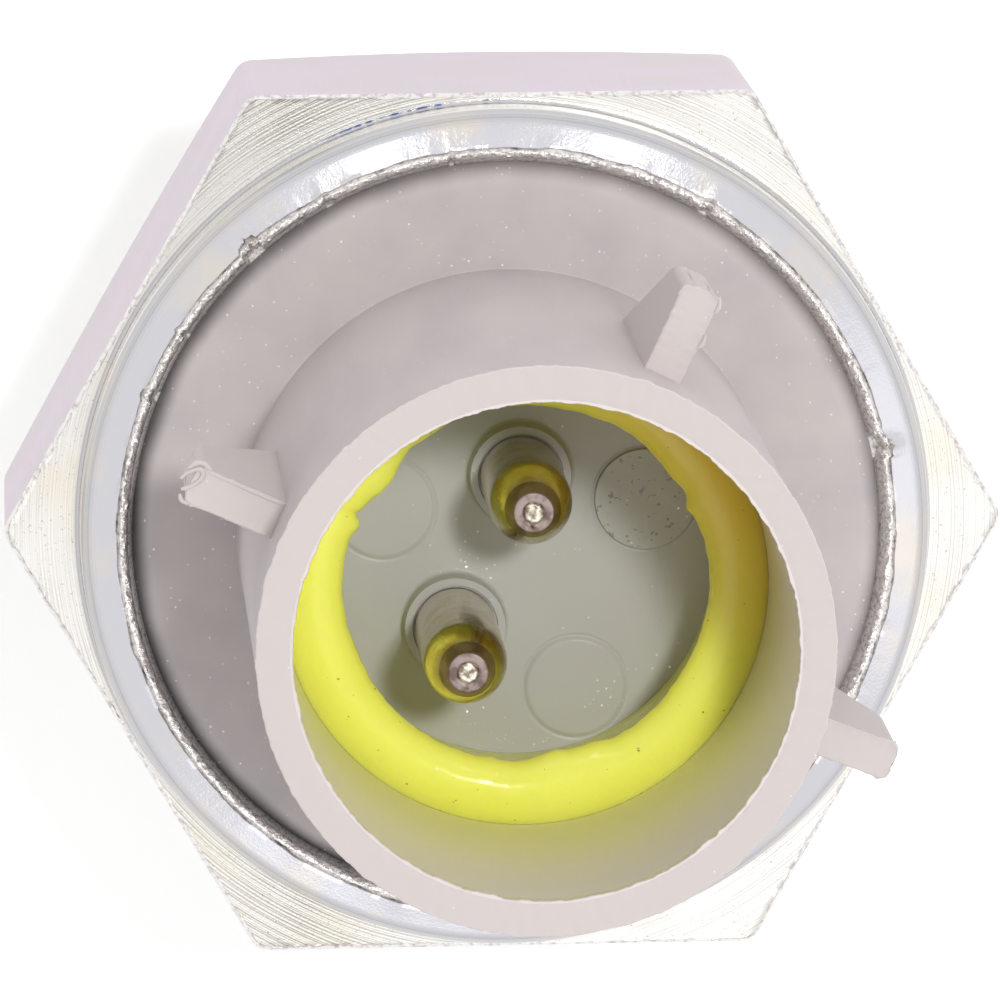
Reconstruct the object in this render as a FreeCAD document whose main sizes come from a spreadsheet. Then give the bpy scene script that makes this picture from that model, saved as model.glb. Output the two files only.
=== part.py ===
import FreeCAD, Part
import math
import os

import Sketcher

# Screw-in knock sensor for an engine block, in millimetres.
# The origin is the middle of the hexagon's seat face; the stud points down and the
# connector up. A stack of rings is clamped on the housing's post: it hears the engine,
# and the two pins carry its voltage to the plug.

doc = FreeCAD.newDocument("KnockSensor")
sheet = doc.addObject("Spreadsheet::Sheet", "Sizes")


class Size:
    """A length or angle with the sheet expression that gives it."""

    def __init__(self, value, text):
        self.value = value
        self.text = text

    def __add__(self, other):
        other = as_size(other)
        return Size(self.value + other.value, f"({self.text} + {other.text})")

    def __sub__(self, other):
        other = as_size(other)
        return Size(self.value - other.value, f"({self.text} - {other.text})")

    def __mul__(self, other):
        other = as_size(other)
        return Size(self.value * other.value, f"({self.text} * {other.text})")

    def __truediv__(self, other):
        other = as_size(other)
        return Size(self.value / other.value, f"({self.text} / {other.text})")

    def __neg__(self):
        return Size(-self.value, f"(0 - {self.text})")


def as_size(number):
    """A plain number as a Size, and a Size as it is."""
    return number if isinstance(number, Size) else Size(float(number), f"{number:g}")


def size(alias, value):
    """Put a driving dimension in the next row of the sheet."""
    row = size.next_row
    size.next_row += 1
    sheet.set(f"A{row}", alias)
    sheet.set(f"B{row}", f"{value:g}")
    sheet.setAlias(f"B{row}", alias)
    return Size(float(value), f"Sizes.{alias}")


size.next_row = 1
ZERO = Size(0.0, "0")

# Steel housing
hex_flats = size("hex_flats", 27.0)
hex_height = size("hex_height", 10.6)
hex_corner = size("hex_corner", 0.6)
hex_bevel_start = size("hex_bevel_start", 13.0)
hex_bevel_slope = size("hex_bevel_slope", 0.7)
seat_radius = size("seat_radius", 12.4)
seat_step = size("seat_step", 0.3)
seat_recess = size("seat_recess", 6.6)
seat_recess_depth = size("seat_recess_depth", 0.4)
stud_radius = size("stud_radius", 6.0)
stud_length = size("stud_length", 14.0)
stud_chamfer = size("stud_chamfer", 1.0)
relief_radius = size("relief_radius", 5.15)
relief_length = size("relief_length", 1.6)
base_thick = size("base_thick", 2.2)
cavity_radius = size("cavity_radius", 10.5)
ledge_depth = size("ledge_depth", 1.4)
skirt_radius = size("skirt_radius", 13.17)
skirt_roll = size("skirt_roll", 1.7)
lip_radius = size("lip_radius", 11.92)
lip_rise = size("lip_rise", 1.93)
lip_inner = size("lip_inner", 11.57)
post_radius = size("post_radius", 3.0)
post_clear = size("post_clear", 0.3)
post_chamfer = size("post_chamfer", 0.4)

# Connector moulding, its levels counted from the hexagon's top face
flange_radius = size("flange_radius", 12.1)
flange_fit = size("flange_fit", 0.05)
flange_top = size("flange_top", 2.0)
flange_edge = size("flange_edge", 0.55)
flange_bevel = size("flange_bevel", 0.9)
flange_hollow = size("flange_hollow", 9.6)
flange_hollow_rise = size("flange_hollow_rise", 1.2)
groove_radius = size("groove_radius", 11.2)
groove_low = size("groove_low", -0.95)
groove_high = size("groove_high", 0.15)
cup_radius = size("cup_radius", 8.32)
cup_wall = size("cup_wall", 1.0)
cup_rise = size("cup_rise", 20.3)
cup_fillet = size("cup_fillet", 0.35)
floor_rise = size("floor_rise", 6.0)
floor_thick = size("floor_thick", 1.6)
neck_hollow = size("neck_hollow", 6.9)
key_reach = size("key_reach", 11.1)
key_width = size("key_width", 1.1)
key_top = size("key_top", 17.3)
key_low = size("key_low", 13.8)
key_root = size("key_root", 8.5)
key_round = size("key_round", 0.3)
key_angles = (
    size("key_first_angle", 64.6),
    size("key_second_angle", 155.7),
    size("key_third_angle", -21.4),
)
boss_radius = size("boss_radius", 1.55)
boss_rise = size("boss_rise", 0.7)
mark_circle = size("mark_circle", 4.35)
mark_radius = size("mark_radius", 1.55)
mark_angles = (
    size("mark_first_angle", 25.0),
    size("mark_second_angle", 157.5),
    size("mark_third_angle", -65.5),
)
mark_rises = (
    size("mark_first_rise", 0.14),
    size("mark_second_rise", 0.04),
    size("mark_third_rise", 0.06),
)

# Terminal pins and plug seal
pin_circle = size("pin_circle", 2.7)
pin_radius = size("pin_radius", 1.25)
pin_neck = size("pin_neck", 0.95)
pin_tip = size("pin_tip", 0.64)
pin_nose = size("pin_nose", 1.7)
pin_cone = size("pin_cone", 0.84)
pin_cone_rise = size("pin_cone_rise", 0.45)
pin_cone_round = size("pin_cone_round", 0.45)
pin_collar = size("pin_collar", 1.75)
pin_collar_thick = size("pin_collar_thick", 0.5)
pin_cover = size("pin_cover", 0.5)
foot_radius = size("foot_radius", 0.8)
foot_length = size("foot_length", 1.9)
pin_angle = {"a": size("pin_first_angle", 87.4), "b": size("pin_second_angle", 225.7)}
pin_shoulder = {"a": size("pin_first_shoulder", 11.1), "b": size("pin_second_shoulder", 11.9)}
seal_bore = size("seal_bore", 5.4)
seal_foot = size("seal_foot", 6.0)
seal_rise = size("seal_rise", 4.4)
seal_round = size("seal_round", 0.45)
seal_edge = size("seal_edge", 0.2)

# Sensing stack, from the housing's floor up
sleeve_bore = size("sleeve_bore", 3.05)
sleeve_wall = size("sleeve_wall", 0.4)
sleeve_length = size("sleeve_length", 6.4)
ring_bore = size("ring_bore", 3.55)
insulator_radius = size("insulator_radius", 8.5)
insulator_thick = size("insulator_thick", 0.4)
plate_bore = size("plate_bore", 3.9)
plate_radius = size("plate_radius", 8.3)
plate_thick = size("plate_thick", 0.3)
piezo_thick = size("piezo_thick", 2.4)
mass_thick = size("mass_thick", 2.8)
mass_chamfer = size("mass_chamfer", 0.4)
spring_radius = size("spring_radius", 6.0)
spring_bore = size("spring_bore", 3.2)
spring_thick = size("spring_thick", 0.5)
spring_height = size("spring_height", 1.0)
nut_flats = size("nut_flats", 10.0)
nut_thick = size("nut_thick", 2.5)
nut_bevel = size("nut_bevel", 0.5)

# Wiring between the stack and the pins
tab_width = size("tab_width", 2.0)
tab_reach = size("tab_reach", 9.3)
tab_top = size("tab_top", 10.0)
strap_width = size("strap_width", 1.8)
strap_thick = size("strap_thick", 0.25)
strap_lap = size("strap_lap", 0.9)
strap_riser = size("strap_riser", 6.5)
strap_level = size("strap_level", 13.25)
strap_margin = size("strap_margin", 0.9)
resistor_offset = size("resistor_offset", 4.6)
resistor_middle = size("resistor_middle", 0.3)
resistor_level = size("resistor_level", 13.9)
resistor_length = size("resistor_length", 3.0)
resistor_cap = size("resistor_cap", 0.85)
resistor_waist = size("resistor_waist", 0.72)
resistor_cap_length = size("resistor_cap_length", 0.7)
resistor_shoulder = size("resistor_shoulder", 0.9)
wire_radius = size("wire_radius", 0.25)
wire_bend = size("wire_bend", 0.6)

# Oil and water seal of the flange
o_ring_middle = (groove_low + groove_high) / 2

# Heights and radii that follow from the driving dimensions
bore_radius = flange_radius + flange_fit
ledge_level = hex_height - ledge_depth
floor_level = hex_height + floor_rise
floor_under = floor_level - floor_thick
rim_level = hex_height + cup_rise
bevel_slope = (flange_top - flange_edge) / flange_bevel
doc.recompute()


def polar(radius, angle):
    """The point at this radius and angle about the origin."""
    turn = math.radians(angle.value)
    return (
        Size(radius.value * math.cos(turn), f"({radius.text} * cos({angle.text}))"),
        Size(radius.value * math.sin(turn), f"({radius.text} * sin({angle.text}))"),
    )


def new_body(label):
    """A body that is named like the piece it makes."""
    body = doc.addObject("PartDesign::Body", label)
    body.Label = label
    return body


def turn_body(body, angle):
    """Turn a finished body about the sensor's axis."""
    body.Placement = FreeCAD.Placement(FreeCAD.Vector(), FreeCAD.Rotation(FreeCAD.Vector(0, 0, 1), angle.value))
    body.setExpression(".Placement.Rotation.Angle", angle.text)


def sketch_on(body, name, role, lift=None, shift=None):
    """An empty sketch on one of the body's origin planes, lifted off it or shifted along it."""
    sketch = body.newObject("Sketcher::SketchObject", name)
    plane = next(item for item in body.Origin.OriginFeatures if item.Role == role)
    sketch.AttachmentSupport = [(plane, "")]
    sketch.MapMode = "FlatFace"
    if lift is not None:
        sketch.setExpression("AttachmentOffset.Base.z", lift.text)
    if shift is not None:
        sketch.setExpression("AttachmentOffset.Base.x", shift.text)
    return sketch


def drive(sketch, constraint, amount):
    """Add a dimension to a sketch and bind it to the sheet."""
    index = sketch.addConstraint(constraint)
    sketch.setExpression(f"Constraints[{index}]", amount.text)


def hold_point(sketch, edge, end, point):
    """Hold one end of an edge at a point."""
    for kind, amount, axis in (("DistanceX", point[0], -2), ("DistanceY", point[1], -1)):
        if amount.value == 0.0:
            sketch.addConstraint(Sketcher.Constraint("PointOnObject", edge, end, axis))
        else:
            drive(sketch, Sketcher.Constraint(kind, -1, 1, edge, end, amount.value), amount)


def circle(sketch, centre, radius):
    """A dimensioned circle."""
    middle = FreeCAD.Vector(centre[0].value, centre[1].value, 0)
    edge = sketch.addGeometry(Part.Circle(middle, FreeCAD.Vector(0, 0, 1), radius.value))
    hold_point(sketch, edge, 3, centre)
    drive(sketch, Sketcher.Constraint("Radius", edge, radius.value), radius)


def arc_between(start, finish, radius, left):
    """The arc of this radius from start to finish, with its centre on the left or the right."""
    chord = finish - start
    half = chord.Length / 2
    side = FreeCAD.Vector(-chord.y, chord.x, 0).normalize()
    reach = math.sqrt(max(radius * radius - half * half, 0.0))
    centre = (start + finish) * 0.5 + side * (reach if left else -reach)
    ends = (start, finish) if left else (finish, start)
    angles = [math.atan2(end.y - centre.y, end.x - centre.x) for end in ends]
    return Part.ArcOfCircle(Part.Circle(centre, FreeCAD.Vector(0, 0, 1), radius), angles[0], angles[1])


def outline(sketch, points, arcs=None, closed=True):
    """Draw the outline through the points; arcs maps an edge's number to its radius and side."""
    arcs = arcs or {}
    points = [(as_size(x), as_size(y)) for x, y in points]
    count = len(points) if closed else len(points) - 1
    joints = []
    for number in range(count):
        start, finish = (
            FreeCAD.Vector(x.value, y.value, 0) for x, y in (points[number], points[(number + 1) % len(points)])
        )
        if number in arcs:
            radius, side = arcs[number]
            edge = sketch.addGeometry(arc_between(start, finish, radius.value, side == "left"))
            first, last = (1, 2) if side == "left" else (2, 1)
            drive(sketch, Sketcher.Constraint("Radius", edge, radius.value), radius)
        else:
            edge = sketch.addGeometry(Part.LineSegment(start, finish))
            first, last = (1, 2)
        hold_point(sketch, edge, first, points[number])
        joints.append((edge, first, last))
    for number in range(count if closed else count - 1):
        edge, _, last = joints[number]
        following, first, _ = joints[(number + 1) % count]
        sketch.addConstraint(Sketcher.Constraint("Coincident", edge, last, following, first))
    if not closed:
        edge, _, last = joints[-1]
        hold_point(sketch, edge, last, points[-1])


def rectangle(sketch, low, high):
    """A rectangle from its low corner to its high corner."""
    outline(sketch, [low, (high[0], low[1]), high, (low[0], high[1])])


def hexagon(sketch, flats):
    """A regular hexagon of this width across flats, with corners on the X axis."""
    corner = flats / math.sqrt(3)
    outline(sketch, [polar(corner, as_size(60 * number)) for number in range(6)])


def turned(body, name, points, arcs=None, cut=False, shift=None):
    """Turn an outline of radius and height about the sketch's own upright axis."""
    sketch = sketch_on(body, name + "_outline", "XZ_Plane", shift=shift)
    outline(sketch, points, arcs)
    feature = body.newObject("PartDesign::Groove" if cut else "PartDesign::Revolution", name)
    feature.Profile = sketch
    feature.ReferenceAxis = (sketch, ["V_Axis"])
    feature.Angle = 360.0
    sketch.Visibility = False
    return feature


def padded(body, sketch, name, height, cut=False, both_ways=False):
    """Pad a sketch by this height, or pocket it where cut is set."""
    feature = body.newObject("PartDesign::Pocket" if cut else "PartDesign::Pad", name)
    feature.Profile = sketch
    feature.setExpression("Length", height.text)
    if both_ways:
        feature.SideType = "Symmetric"
    sketch.Visibility = False
    return feature


def upright_edges(feature, radius, low, high):
    """Names of the feature's straight upright edges at this radius and between these heights."""
    doc.recompute()
    names = []
    for number, edge in enumerate(feature.Shape.Edges, 1):
        ends = [vertex.Point for vertex in edge.Vertexes]
        if len(ends) != 2 or abs(ends[0].z - ends[1].z) < 0.5 or edge.Curve.TypeId != "Part::GeomLine":
            continue
        at_radius = all(abs(math.hypot(end.x, end.y) - radius) < 0.1 for end in ends)
        if at_radius and all(low - 0.01 < end.z < high + 0.01 for end in ends):
            names.append(f"Edge{number}")
    return names


def rounded(body, base, name, radius, edges):
    """Fillet these edges of the base feature."""
    feature = body.newObject("PartDesign::Fillet", name)
    feature.Base = (base, edges)
    feature.setExpression("Radius", radius.text)
    return feature


def ring(label, bore, radius, level, thick):
    """A flat ring with its underside at this level."""
    body = new_body(label)
    turned(body, "ring_of_" + label, [
        (bore, level), (radius, level), (radius, level + thick), (bore, level + thick),
    ])
    return body


def make_housing():
    """Turned and milled steel: hexagon, stud, seat, cavity, post and the skirt crimped on the flange."""
    body = new_body("housing")
    hex_sketch = sketch_on(body, "hexagon_outline", "XY_Plane")
    hexagon(hex_sketch, hex_flats)
    block = padded(body, hex_sketch, "hexagon", hex_height)
    corners = upright_edges(block, hex_flats.value / math.sqrt(3), 0, hex_height.value)
    rounded(body, block, "hexagon_corners", hex_corner, corners)
    bevel_reach = hex_flats - hex_bevel_start
    turned(body, "seat_and_bevel", [
        (seat_radius, -seat_step),
        (hex_flats, -seat_step),
        (hex_flats, seat_step + bevel_reach * hex_bevel_slope),
        (hex_bevel_start, seat_step),
        (seat_radius, seat_step),
    ], cut=True)
    turned(body, "recess_round_stud", [
        (ZERO, -seat_step),
        (seat_recess, -seat_step),
        (seat_recess, seat_recess_depth),
        (ZERO, seat_recess_depth),
    ], cut=True)
    turned(body, "skirt", [
        (cavity_radius, ledge_level - seat_step),
        (skirt_radius, ledge_level - seat_step),
        (skirt_radius, hex_height),
        (lip_radius, hex_height + lip_rise),
        (lip_inner, hex_height + flange_edge + (flange_radius - lip_inner) * bevel_slope),
        (cavity_radius, hex_height + flange_edge + (flange_radius - lip_inner) * bevel_slope),
    ], arcs={2: (skirt_roll, "left")})
    turned(body, "cavity", [
        (ZERO, base_thick),
        (cavity_radius, base_thick),
        (cavity_radius, ledge_level),
        (bore_radius, ledge_level),
        (bore_radius, hex_height + flange_edge - flange_fit * bevel_slope),
        (lip_inner, hex_height + flange_edge + (flange_radius - lip_inner) * bevel_slope),
        (lip_inner, hex_height + cup_rise),
        (ZERO, hex_height + cup_rise),
    ], cut=True)
    turned(body, "stud", [
        (ZERO, base_thick),
        (relief_radius, base_thick),
        (relief_radius, -relief_length),
        (stud_radius, -relief_length - (stud_radius - relief_radius)),
        (stud_radius, stud_chamfer - stud_length),
        (stud_radius - stud_chamfer, -stud_length),
        (ZERO, -stud_length),
    ])
    post_top = nut_top + post_clear
    turned(body, "post", [
        (ZERO, base_thick - seat_step),
        (post_radius, base_thick - seat_step),
        (post_radius, post_top - post_chamfer),
        (post_radius - post_chamfer, post_top),
        (ZERO, post_top),
    ])
    return body


def make_moulding():
    """Glass-filled plastic moulding: flange, keyed cup, pin bosses and the hollow under its floor."""
    body = new_body("connector_moulding")
    inner = cup_radius - cup_wall
    turned(body, "flange_and_cup", [
        (ZERO, floor_under),
        (neck_hollow, floor_under),
        (neck_hollow, ledge_level + flange_hollow_rise),
        (flange_hollow, ledge_level + flange_hollow_rise),
        (flange_hollow, ledge_level),
        (flange_radius, ledge_level),
        (flange_radius, hex_height + groove_low),
        (groove_radius, hex_height + groove_low),
        (groove_radius, hex_height + groove_high),
        (flange_radius, hex_height + groove_high),
        (flange_radius, hex_height + flange_edge),
        (flange_radius - flange_bevel, hex_height + flange_top),
        (cup_radius + cup_fillet, hex_height + flange_top),
        (cup_radius, hex_height + flange_top + cup_fillet),
        (cup_radius, rim_level),
        (inner, rim_level),
        (inner, floor_level),
        (ZERO, floor_level),
    ], arcs={12: (cup_fillet, "right")})

    for number, angle in enumerate(key_angles, 1):
        key_sketch = sketch_on(body, f"key_outline_{number}", "XZ_Plane")
        key_sketch.AttachmentOffset = FreeCAD.Placement(
            FreeCAD.Vector(), FreeCAD.Rotation(FreeCAD.Vector(0, 1, 0), angle.value)
        )
        key_sketch.setExpression("AttachmentOffset.Rotation.Angle", angle.text)
        root = cup_radius - cup_wall / 2
        outline(key_sketch, [
            (root, hex_height + key_root),
            (cup_radius, hex_height + key_root),
            (key_reach, hex_height + key_low),
            (key_reach, hex_height + key_top),
            (root, hex_height + key_top),
        ])
        key = padded(body, key_sketch, f"key_{number}", key_width, both_ways=True)

    low, high = (hex_height.value + key_low.value, hex_height.value + key_top.value)
    ends = upright_edges(key, math.hypot(key_reach.value, key_width.value / 2), low, high)
    rounded(body, key, "key_ends", key_round, ends)

    boss_sketch = sketch_on(body, "boss_outline", "XY_Plane", lift=floor_level)
    for angle in pin_angle.values():
        circle(boss_sketch, polar(pin_circle, angle), boss_radius)
    padded(body, boss_sketch, "bosses", boss_rise)

    for number, (angle, rise) in enumerate(zip(mark_angles, mark_rises), 1):
        mark_sketch = sketch_on(body, f"ejector_mark_outline_{number}", "XY_Plane", lift=floor_level)
        circle(mark_sketch, polar(mark_circle, angle), mark_radius)
        padded(body, mark_sketch, f"ejector_mark_{number}", rise)
    return body


def make_pin(label, angle, shoulder):
    """A turned brass pin with a coned nose, moulded in at its neck and collar, and a foot for the strap."""
    body = new_body(label)
    collar_top = floor_level - pin_cover
    tip = hex_height + shoulder + pin_nose
    turned(body, "pin_of_" + label, [
        (ZERO, floor_under - foot_length),
        (foot_radius, floor_under - foot_length),
        (foot_radius, collar_top - pin_collar_thick),
        (pin_collar, collar_top - pin_collar_thick),
        (pin_collar, collar_top),
        (pin_neck, collar_top),
        (pin_neck, floor_level + boss_rise),
        (pin_radius, floor_level + boss_rise),
        (pin_radius, hex_height + shoulder),
        (pin_cone, hex_height + shoulder + pin_cone_rise),
        (pin_tip, tip),
        (ZERO, tip),
    ], arcs={8: (pin_cone_round, "left")}, shift=pin_circle)
    turn_body(body, angle)
    return body


def make_plug_seal():
    """Soft silicone ring in the bottom of the cup, wider inside at its foot, that seals round the plug."""
    body = new_body("plug_seal")
    outer = cup_radius - cup_wall
    top = floor_level + seal_rise
    turned(body, "seal_ring", [
        (seal_foot, floor_level),
        (outer, floor_level),
        (outer, top - seal_round),
        (outer - seal_round, top),
        (seal_bore + seal_edge, top),
        (seal_bore, top - seal_edge),
    ], arcs={2: (seal_round, "left"), 4: (seal_edge, "left")})
    return body


def make_flange_ring():
    """Rubber O-ring in the flange's groove."""
    ring_object = doc.addObject("Part::Torus", "flange_o_ring")
    ring_object.Label = "flange_o_ring"
    middle = (groove_radius + bore_radius) / 2
    section = (bore_radius - groove_radius) / 2
    ring_object.setExpression("Radius1", middle.text)
    ring_object.setExpression("Radius2", section.text)
    ring_object.setExpression(".Placement.Base.z", (hex_height + o_ring_middle).text)
    return ring_object


def make_contact_plate(label, level, angle):
    """Punched brass ring with a tab bent up past the stack."""
    body = ring(label, plate_bore, plate_radius, level, plate_thick)
    half = tab_width / 2
    arm = sketch_on(body, "arm_outline_" + label, "XY_Plane", lift=level)
    rectangle(arm, (plate_radius - tab_width / 2, -half), (tab_reach, half))
    padded(body, arm, "arm_of_" + label, plate_thick)
    tab = sketch_on(body, "tab_outline_" + label, "XY_Plane", lift=level)
    rectangle(tab, (tab_reach - plate_thick, -half), (tab_reach, half))
    padded(body, tab, "tab_of_" + label, tab_top - level)
    turn_body(body, angle)
    return body


def make_mass():
    """Turned steel ring that presses on the piezo ring as the engine shakes."""
    body = new_body("seismic_mass")
    top = mass_level + mass_thick
    turned(body, "mass_ring", [
        (ring_bore, mass_level),
        (plate_radius, mass_level),
        (plate_radius, top - mass_chamfer),
        (plate_radius - mass_chamfer, top),
        (ring_bore, top),
    ])
    return body


def make_disc_spring():
    """Coned spring washer between the mass and the nut."""
    body = new_body("disc_spring")
    turned(body, "spring_cone", [
        (spring_radius, spring_level),
        (spring_radius, spring_level + spring_thick),
        (spring_bore, spring_level + spring_height),
        (spring_bore, spring_level + spring_height - spring_thick),
    ])
    return body


def make_nut():
    """Thin hexagon nut on the post's thread."""
    body = new_body("clamp_nut")
    nut_sketch = sketch_on(body, "nut_outline", "XY_Plane", lift=nut_level)
    hexagon(nut_sketch, nut_flats)
    circle(nut_sketch, (ZERO, ZERO), post_radius)
    padded(body, nut_sketch, "nut_block", nut_thick)
    corner = nut_flats / math.sqrt(3)
    flat = nut_flats / 2
    turned(body, "nut_bevel_cut", [
        (flat, nut_top),
        (corner + flat, nut_top),
        (corner + flat, nut_top - nut_bevel * 2),
        (corner, nut_top - nut_bevel),
    ], cut=True)
    return body


def make_strap(label, angle):
    """Thin metal strap, welded to a plate's tab and fitted over a pin's foot."""
    body = new_body(label)
    side = sketch_on(body, "side_outline_" + label, "XZ_Plane")
    reach = tab_reach - plate_thick
    inside = reach - strap_thick
    step = tab_top - strap_thick
    high = strap_level + strap_thick
    outline(side, [
        (reach, tab_top - strap_lap),
        (reach, tab_top),
        (strap_riser, tab_top),
        (strap_riser, high),
        (pin_circle - strap_margin, high),
        (pin_circle - strap_margin, strap_level),
        (strap_riser - strap_thick, strap_level),
        (strap_riser - strap_thick, step),
        (inside, step),
        (inside, tab_top - strap_lap),
    ])
    padded(body, side, "band_of_" + label, strap_width, both_ways=True)
    hole = sketch_on(body, "hole_outline_" + label, "XY_Plane", lift=high)
    circle(hole, (pin_circle, ZERO), foot_radius)
    padded(body, hole, "hole_of_" + label, strap_thick, cut=True)
    turn_body(body, angle)
    return body


def make_resistor():
    """Small axial shunt resistor, a moulded body with a cap at each end."""
    body = new_body("shunt_resistor")
    half = resistor_length / 2
    turned(body, "resistor_barrel", [
        (ZERO, -half),
        (resistor_cap, -half),
        (resistor_cap, resistor_cap_length - half),
        (resistor_waist, resistor_shoulder - half),
        (resistor_waist, half - resistor_shoulder),
        (resistor_cap, half - resistor_cap_length),
        (resistor_cap, half),
        (ZERO, half),
    ])
    body.Placement = FreeCAD.Placement(FreeCAD.Vector(), FreeCAD.Rotation(FreeCAD.Vector(1, 0, 0), -90))
    body.setExpression(".Placement.Base.x", resistor_offset.text)
    body.setExpression(".Placement.Base.y", resistor_middle.text)
    body.setExpression(".Placement.Base.z", resistor_level.text)
    return body


def make_resistor_wire(label, side, pin_centre):
    """Tinned wire from one end of the resistor, bent once and butted to a pin's foot."""
    body = new_body(label)
    end = resistor_middle + resistor_length / 2 * side
    line = pin_centre[1]
    bend_side = "left" if side > 0 else "right"
    route = sketch_on(body, "route_of_" + label, "XY_Plane", lift=resistor_level)
    outline(route, [
        (resistor_offset, end),
        (resistor_offset, line - wire_bend * side),
        (resistor_offset - wire_bend, line),
        (pin_centre[0] + foot_radius, line),
    ], arcs={1: (wire_bend, bend_side)}, closed=False)
    section = sketch_on(body, "section_of_" + label, "XZ_Plane", lift=-end)
    circle(section, (resistor_offset, resistor_level), wire_radius)
    wire = body.newObject("PartDesign::AdditivePipe", "wire_of_" + label)
    wire.Profile = section
    wire.Spine = route
    return body


# Levels of the stack, each on top of the one below
lower_plate_level = base_thick + insulator_thick
piezo_level = lower_plate_level + plate_thick
upper_plate_level = piezo_level + piezo_thick
upper_insulator_level = upper_plate_level + plate_thick
mass_level = upper_insulator_level + insulator_thick
spring_level = mass_level + mass_thick
nut_level = spring_level + spring_height
nut_top = nut_level + nut_thick

housing = make_housing()
moulding = make_moulding()
pins = {mark: make_pin("terminal_pin_" + mark, pin_angle[mark], pin_shoulder[mark]) for mark in "ab"}

# The plastic is moulded round both pins, so it gives way to them
around_first = doc.addObject("Part::Cut", "moulding_round_first_pin")
around_first.Base = moulding
around_first.Tool = pins["a"]
connector = doc.addObject("Part::Cut", "connector_body")
connector.Base = around_first
connector.Tool = pins["b"]
connector.Label = "connector_body"

pieces = [
    housing,
    connector,
    pins["a"],
    pins["b"],
    make_plug_seal(),
    make_flange_ring(),
    ring("insulating_sleeve", sleeve_bore, sleeve_bore + sleeve_wall, base_thick, sleeve_length),
    ring("lower_insulator", ring_bore, insulator_radius, base_thick, insulator_thick),
    make_contact_plate("lower_contact_plate", lower_plate_level, pin_angle["b"]),
    ring("piezo_ring", plate_bore, plate_radius, piezo_level, piezo_thick),
    make_contact_plate("upper_contact_plate", upper_plate_level, pin_angle["a"]),
    ring("upper_insulator", ring_bore, insulator_radius, upper_insulator_level, insulator_thick),
    make_mass(),
    make_disc_spring(),
    make_nut(),
    make_strap("lead_strap_a", pin_angle["a"]),
    make_strap("lead_strap_b", pin_angle["b"]),
    make_resistor(),
    make_resistor_wire("resistor_wire_a", 1, polar(pin_circle, pin_angle["a"])),
    make_resistor_wire("resistor_wire_b", -1, polar(pin_circle, pin_angle["b"])),
]

doc.recompute()
for item in doc.Objects:
    if {"Invalid", "Error"} & set(item.State):
        raise RuntimeError(f"{item.Label} did not recompute: {item.State}")
for piece in pieces:
    if piece.Shape.isNull() or not piece.Shape.isValid() or len(piece.Shape.Solids) != 1:
        raise RuntimeError(f"{piece.Label} is not one valid solid")

os.makedirs("parts", exist_ok=True)
for piece in pieces:
    piece.Shape.exportStep(f"parts/{piece.Label}.step")
    box = piece.Shape.BoundBox
    print(f"{piece.Label}: {piece.Shape.Volume:.2f} mm3, z {box.ZMin:.2f} to {box.ZMax:.2f}")
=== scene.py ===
import math

import bmesh
import bpy
from mathutils import Matrix, Vector, geometry, noise


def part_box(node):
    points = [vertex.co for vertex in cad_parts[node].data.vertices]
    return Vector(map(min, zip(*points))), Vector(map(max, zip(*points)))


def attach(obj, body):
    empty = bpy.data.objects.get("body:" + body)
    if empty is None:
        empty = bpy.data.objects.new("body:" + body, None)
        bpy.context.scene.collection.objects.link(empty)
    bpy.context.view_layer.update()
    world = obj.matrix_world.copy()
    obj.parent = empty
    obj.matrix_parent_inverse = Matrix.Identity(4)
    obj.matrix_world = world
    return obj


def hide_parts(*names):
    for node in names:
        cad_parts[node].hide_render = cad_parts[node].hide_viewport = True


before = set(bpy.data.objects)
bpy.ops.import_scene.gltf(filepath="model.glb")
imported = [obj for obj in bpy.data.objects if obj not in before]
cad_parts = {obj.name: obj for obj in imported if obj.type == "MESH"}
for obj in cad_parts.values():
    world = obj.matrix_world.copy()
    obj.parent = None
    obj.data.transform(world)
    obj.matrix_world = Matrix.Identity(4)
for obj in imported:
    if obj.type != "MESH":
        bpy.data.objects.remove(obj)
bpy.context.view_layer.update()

# Steel housing
# One piece turned from 27 mm hexagon bar: the hexagon, the threaded stud, the cavity with its
# post, and a thin skirt that was rolled over the plastic flange. It is zinc plated, and the
# skirt's sheared edge is rough and nicked.
MM = 0.001
FULL_TURN = 2 * math.pi
stud_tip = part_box("housing")[0].z / MM
hex_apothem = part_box("housing")[1].y / MM
hex_top = 10.6
hex_corner_round = 0.6
edge_break = 0.08
burr_height = 0.06
burr_width = 0.06
burr_grain = 0.3
burr_lift = 0.02
seat_radius = 12.4
seat_step = 0.3
bevel_radius = 13.0
bevel_slope = 0.7
seat_recess = 6.6
seat_recess_depth = 0.4
skirt_radius = 13.17
skirt_slope = math.radians(23.5)
skirt_top_radius = 12.07
skirt_rise = 1.87
skirt_shoulder = 12.7
skirt_steps = 14
lip_inner = 11.57
lip_contact = 1.404
bore_radius = 12.15
bore_top = 0.469
ledge_level = 9.2
cavity_radius = 10.5
cavity_floor = 2.2
post_radius = 3.0
post_chamfer = 0.4
post_top = 12.6
relief_radius = 5.15
relief_length = 1.6
thread_radius = 6.0
thread_pitch = 1.25
thread_depth = 0.613 * thread_pitch
stud_chamfer = 1.0
tip_ring = 2
centre_mark = 0.2
round_count = 1200
stud_count = 240
post_count = 60
centre_count = 24
sharp_angle = math.radians(35)
weld_distance = 1e-7
sliver_length = 1e-8

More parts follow.
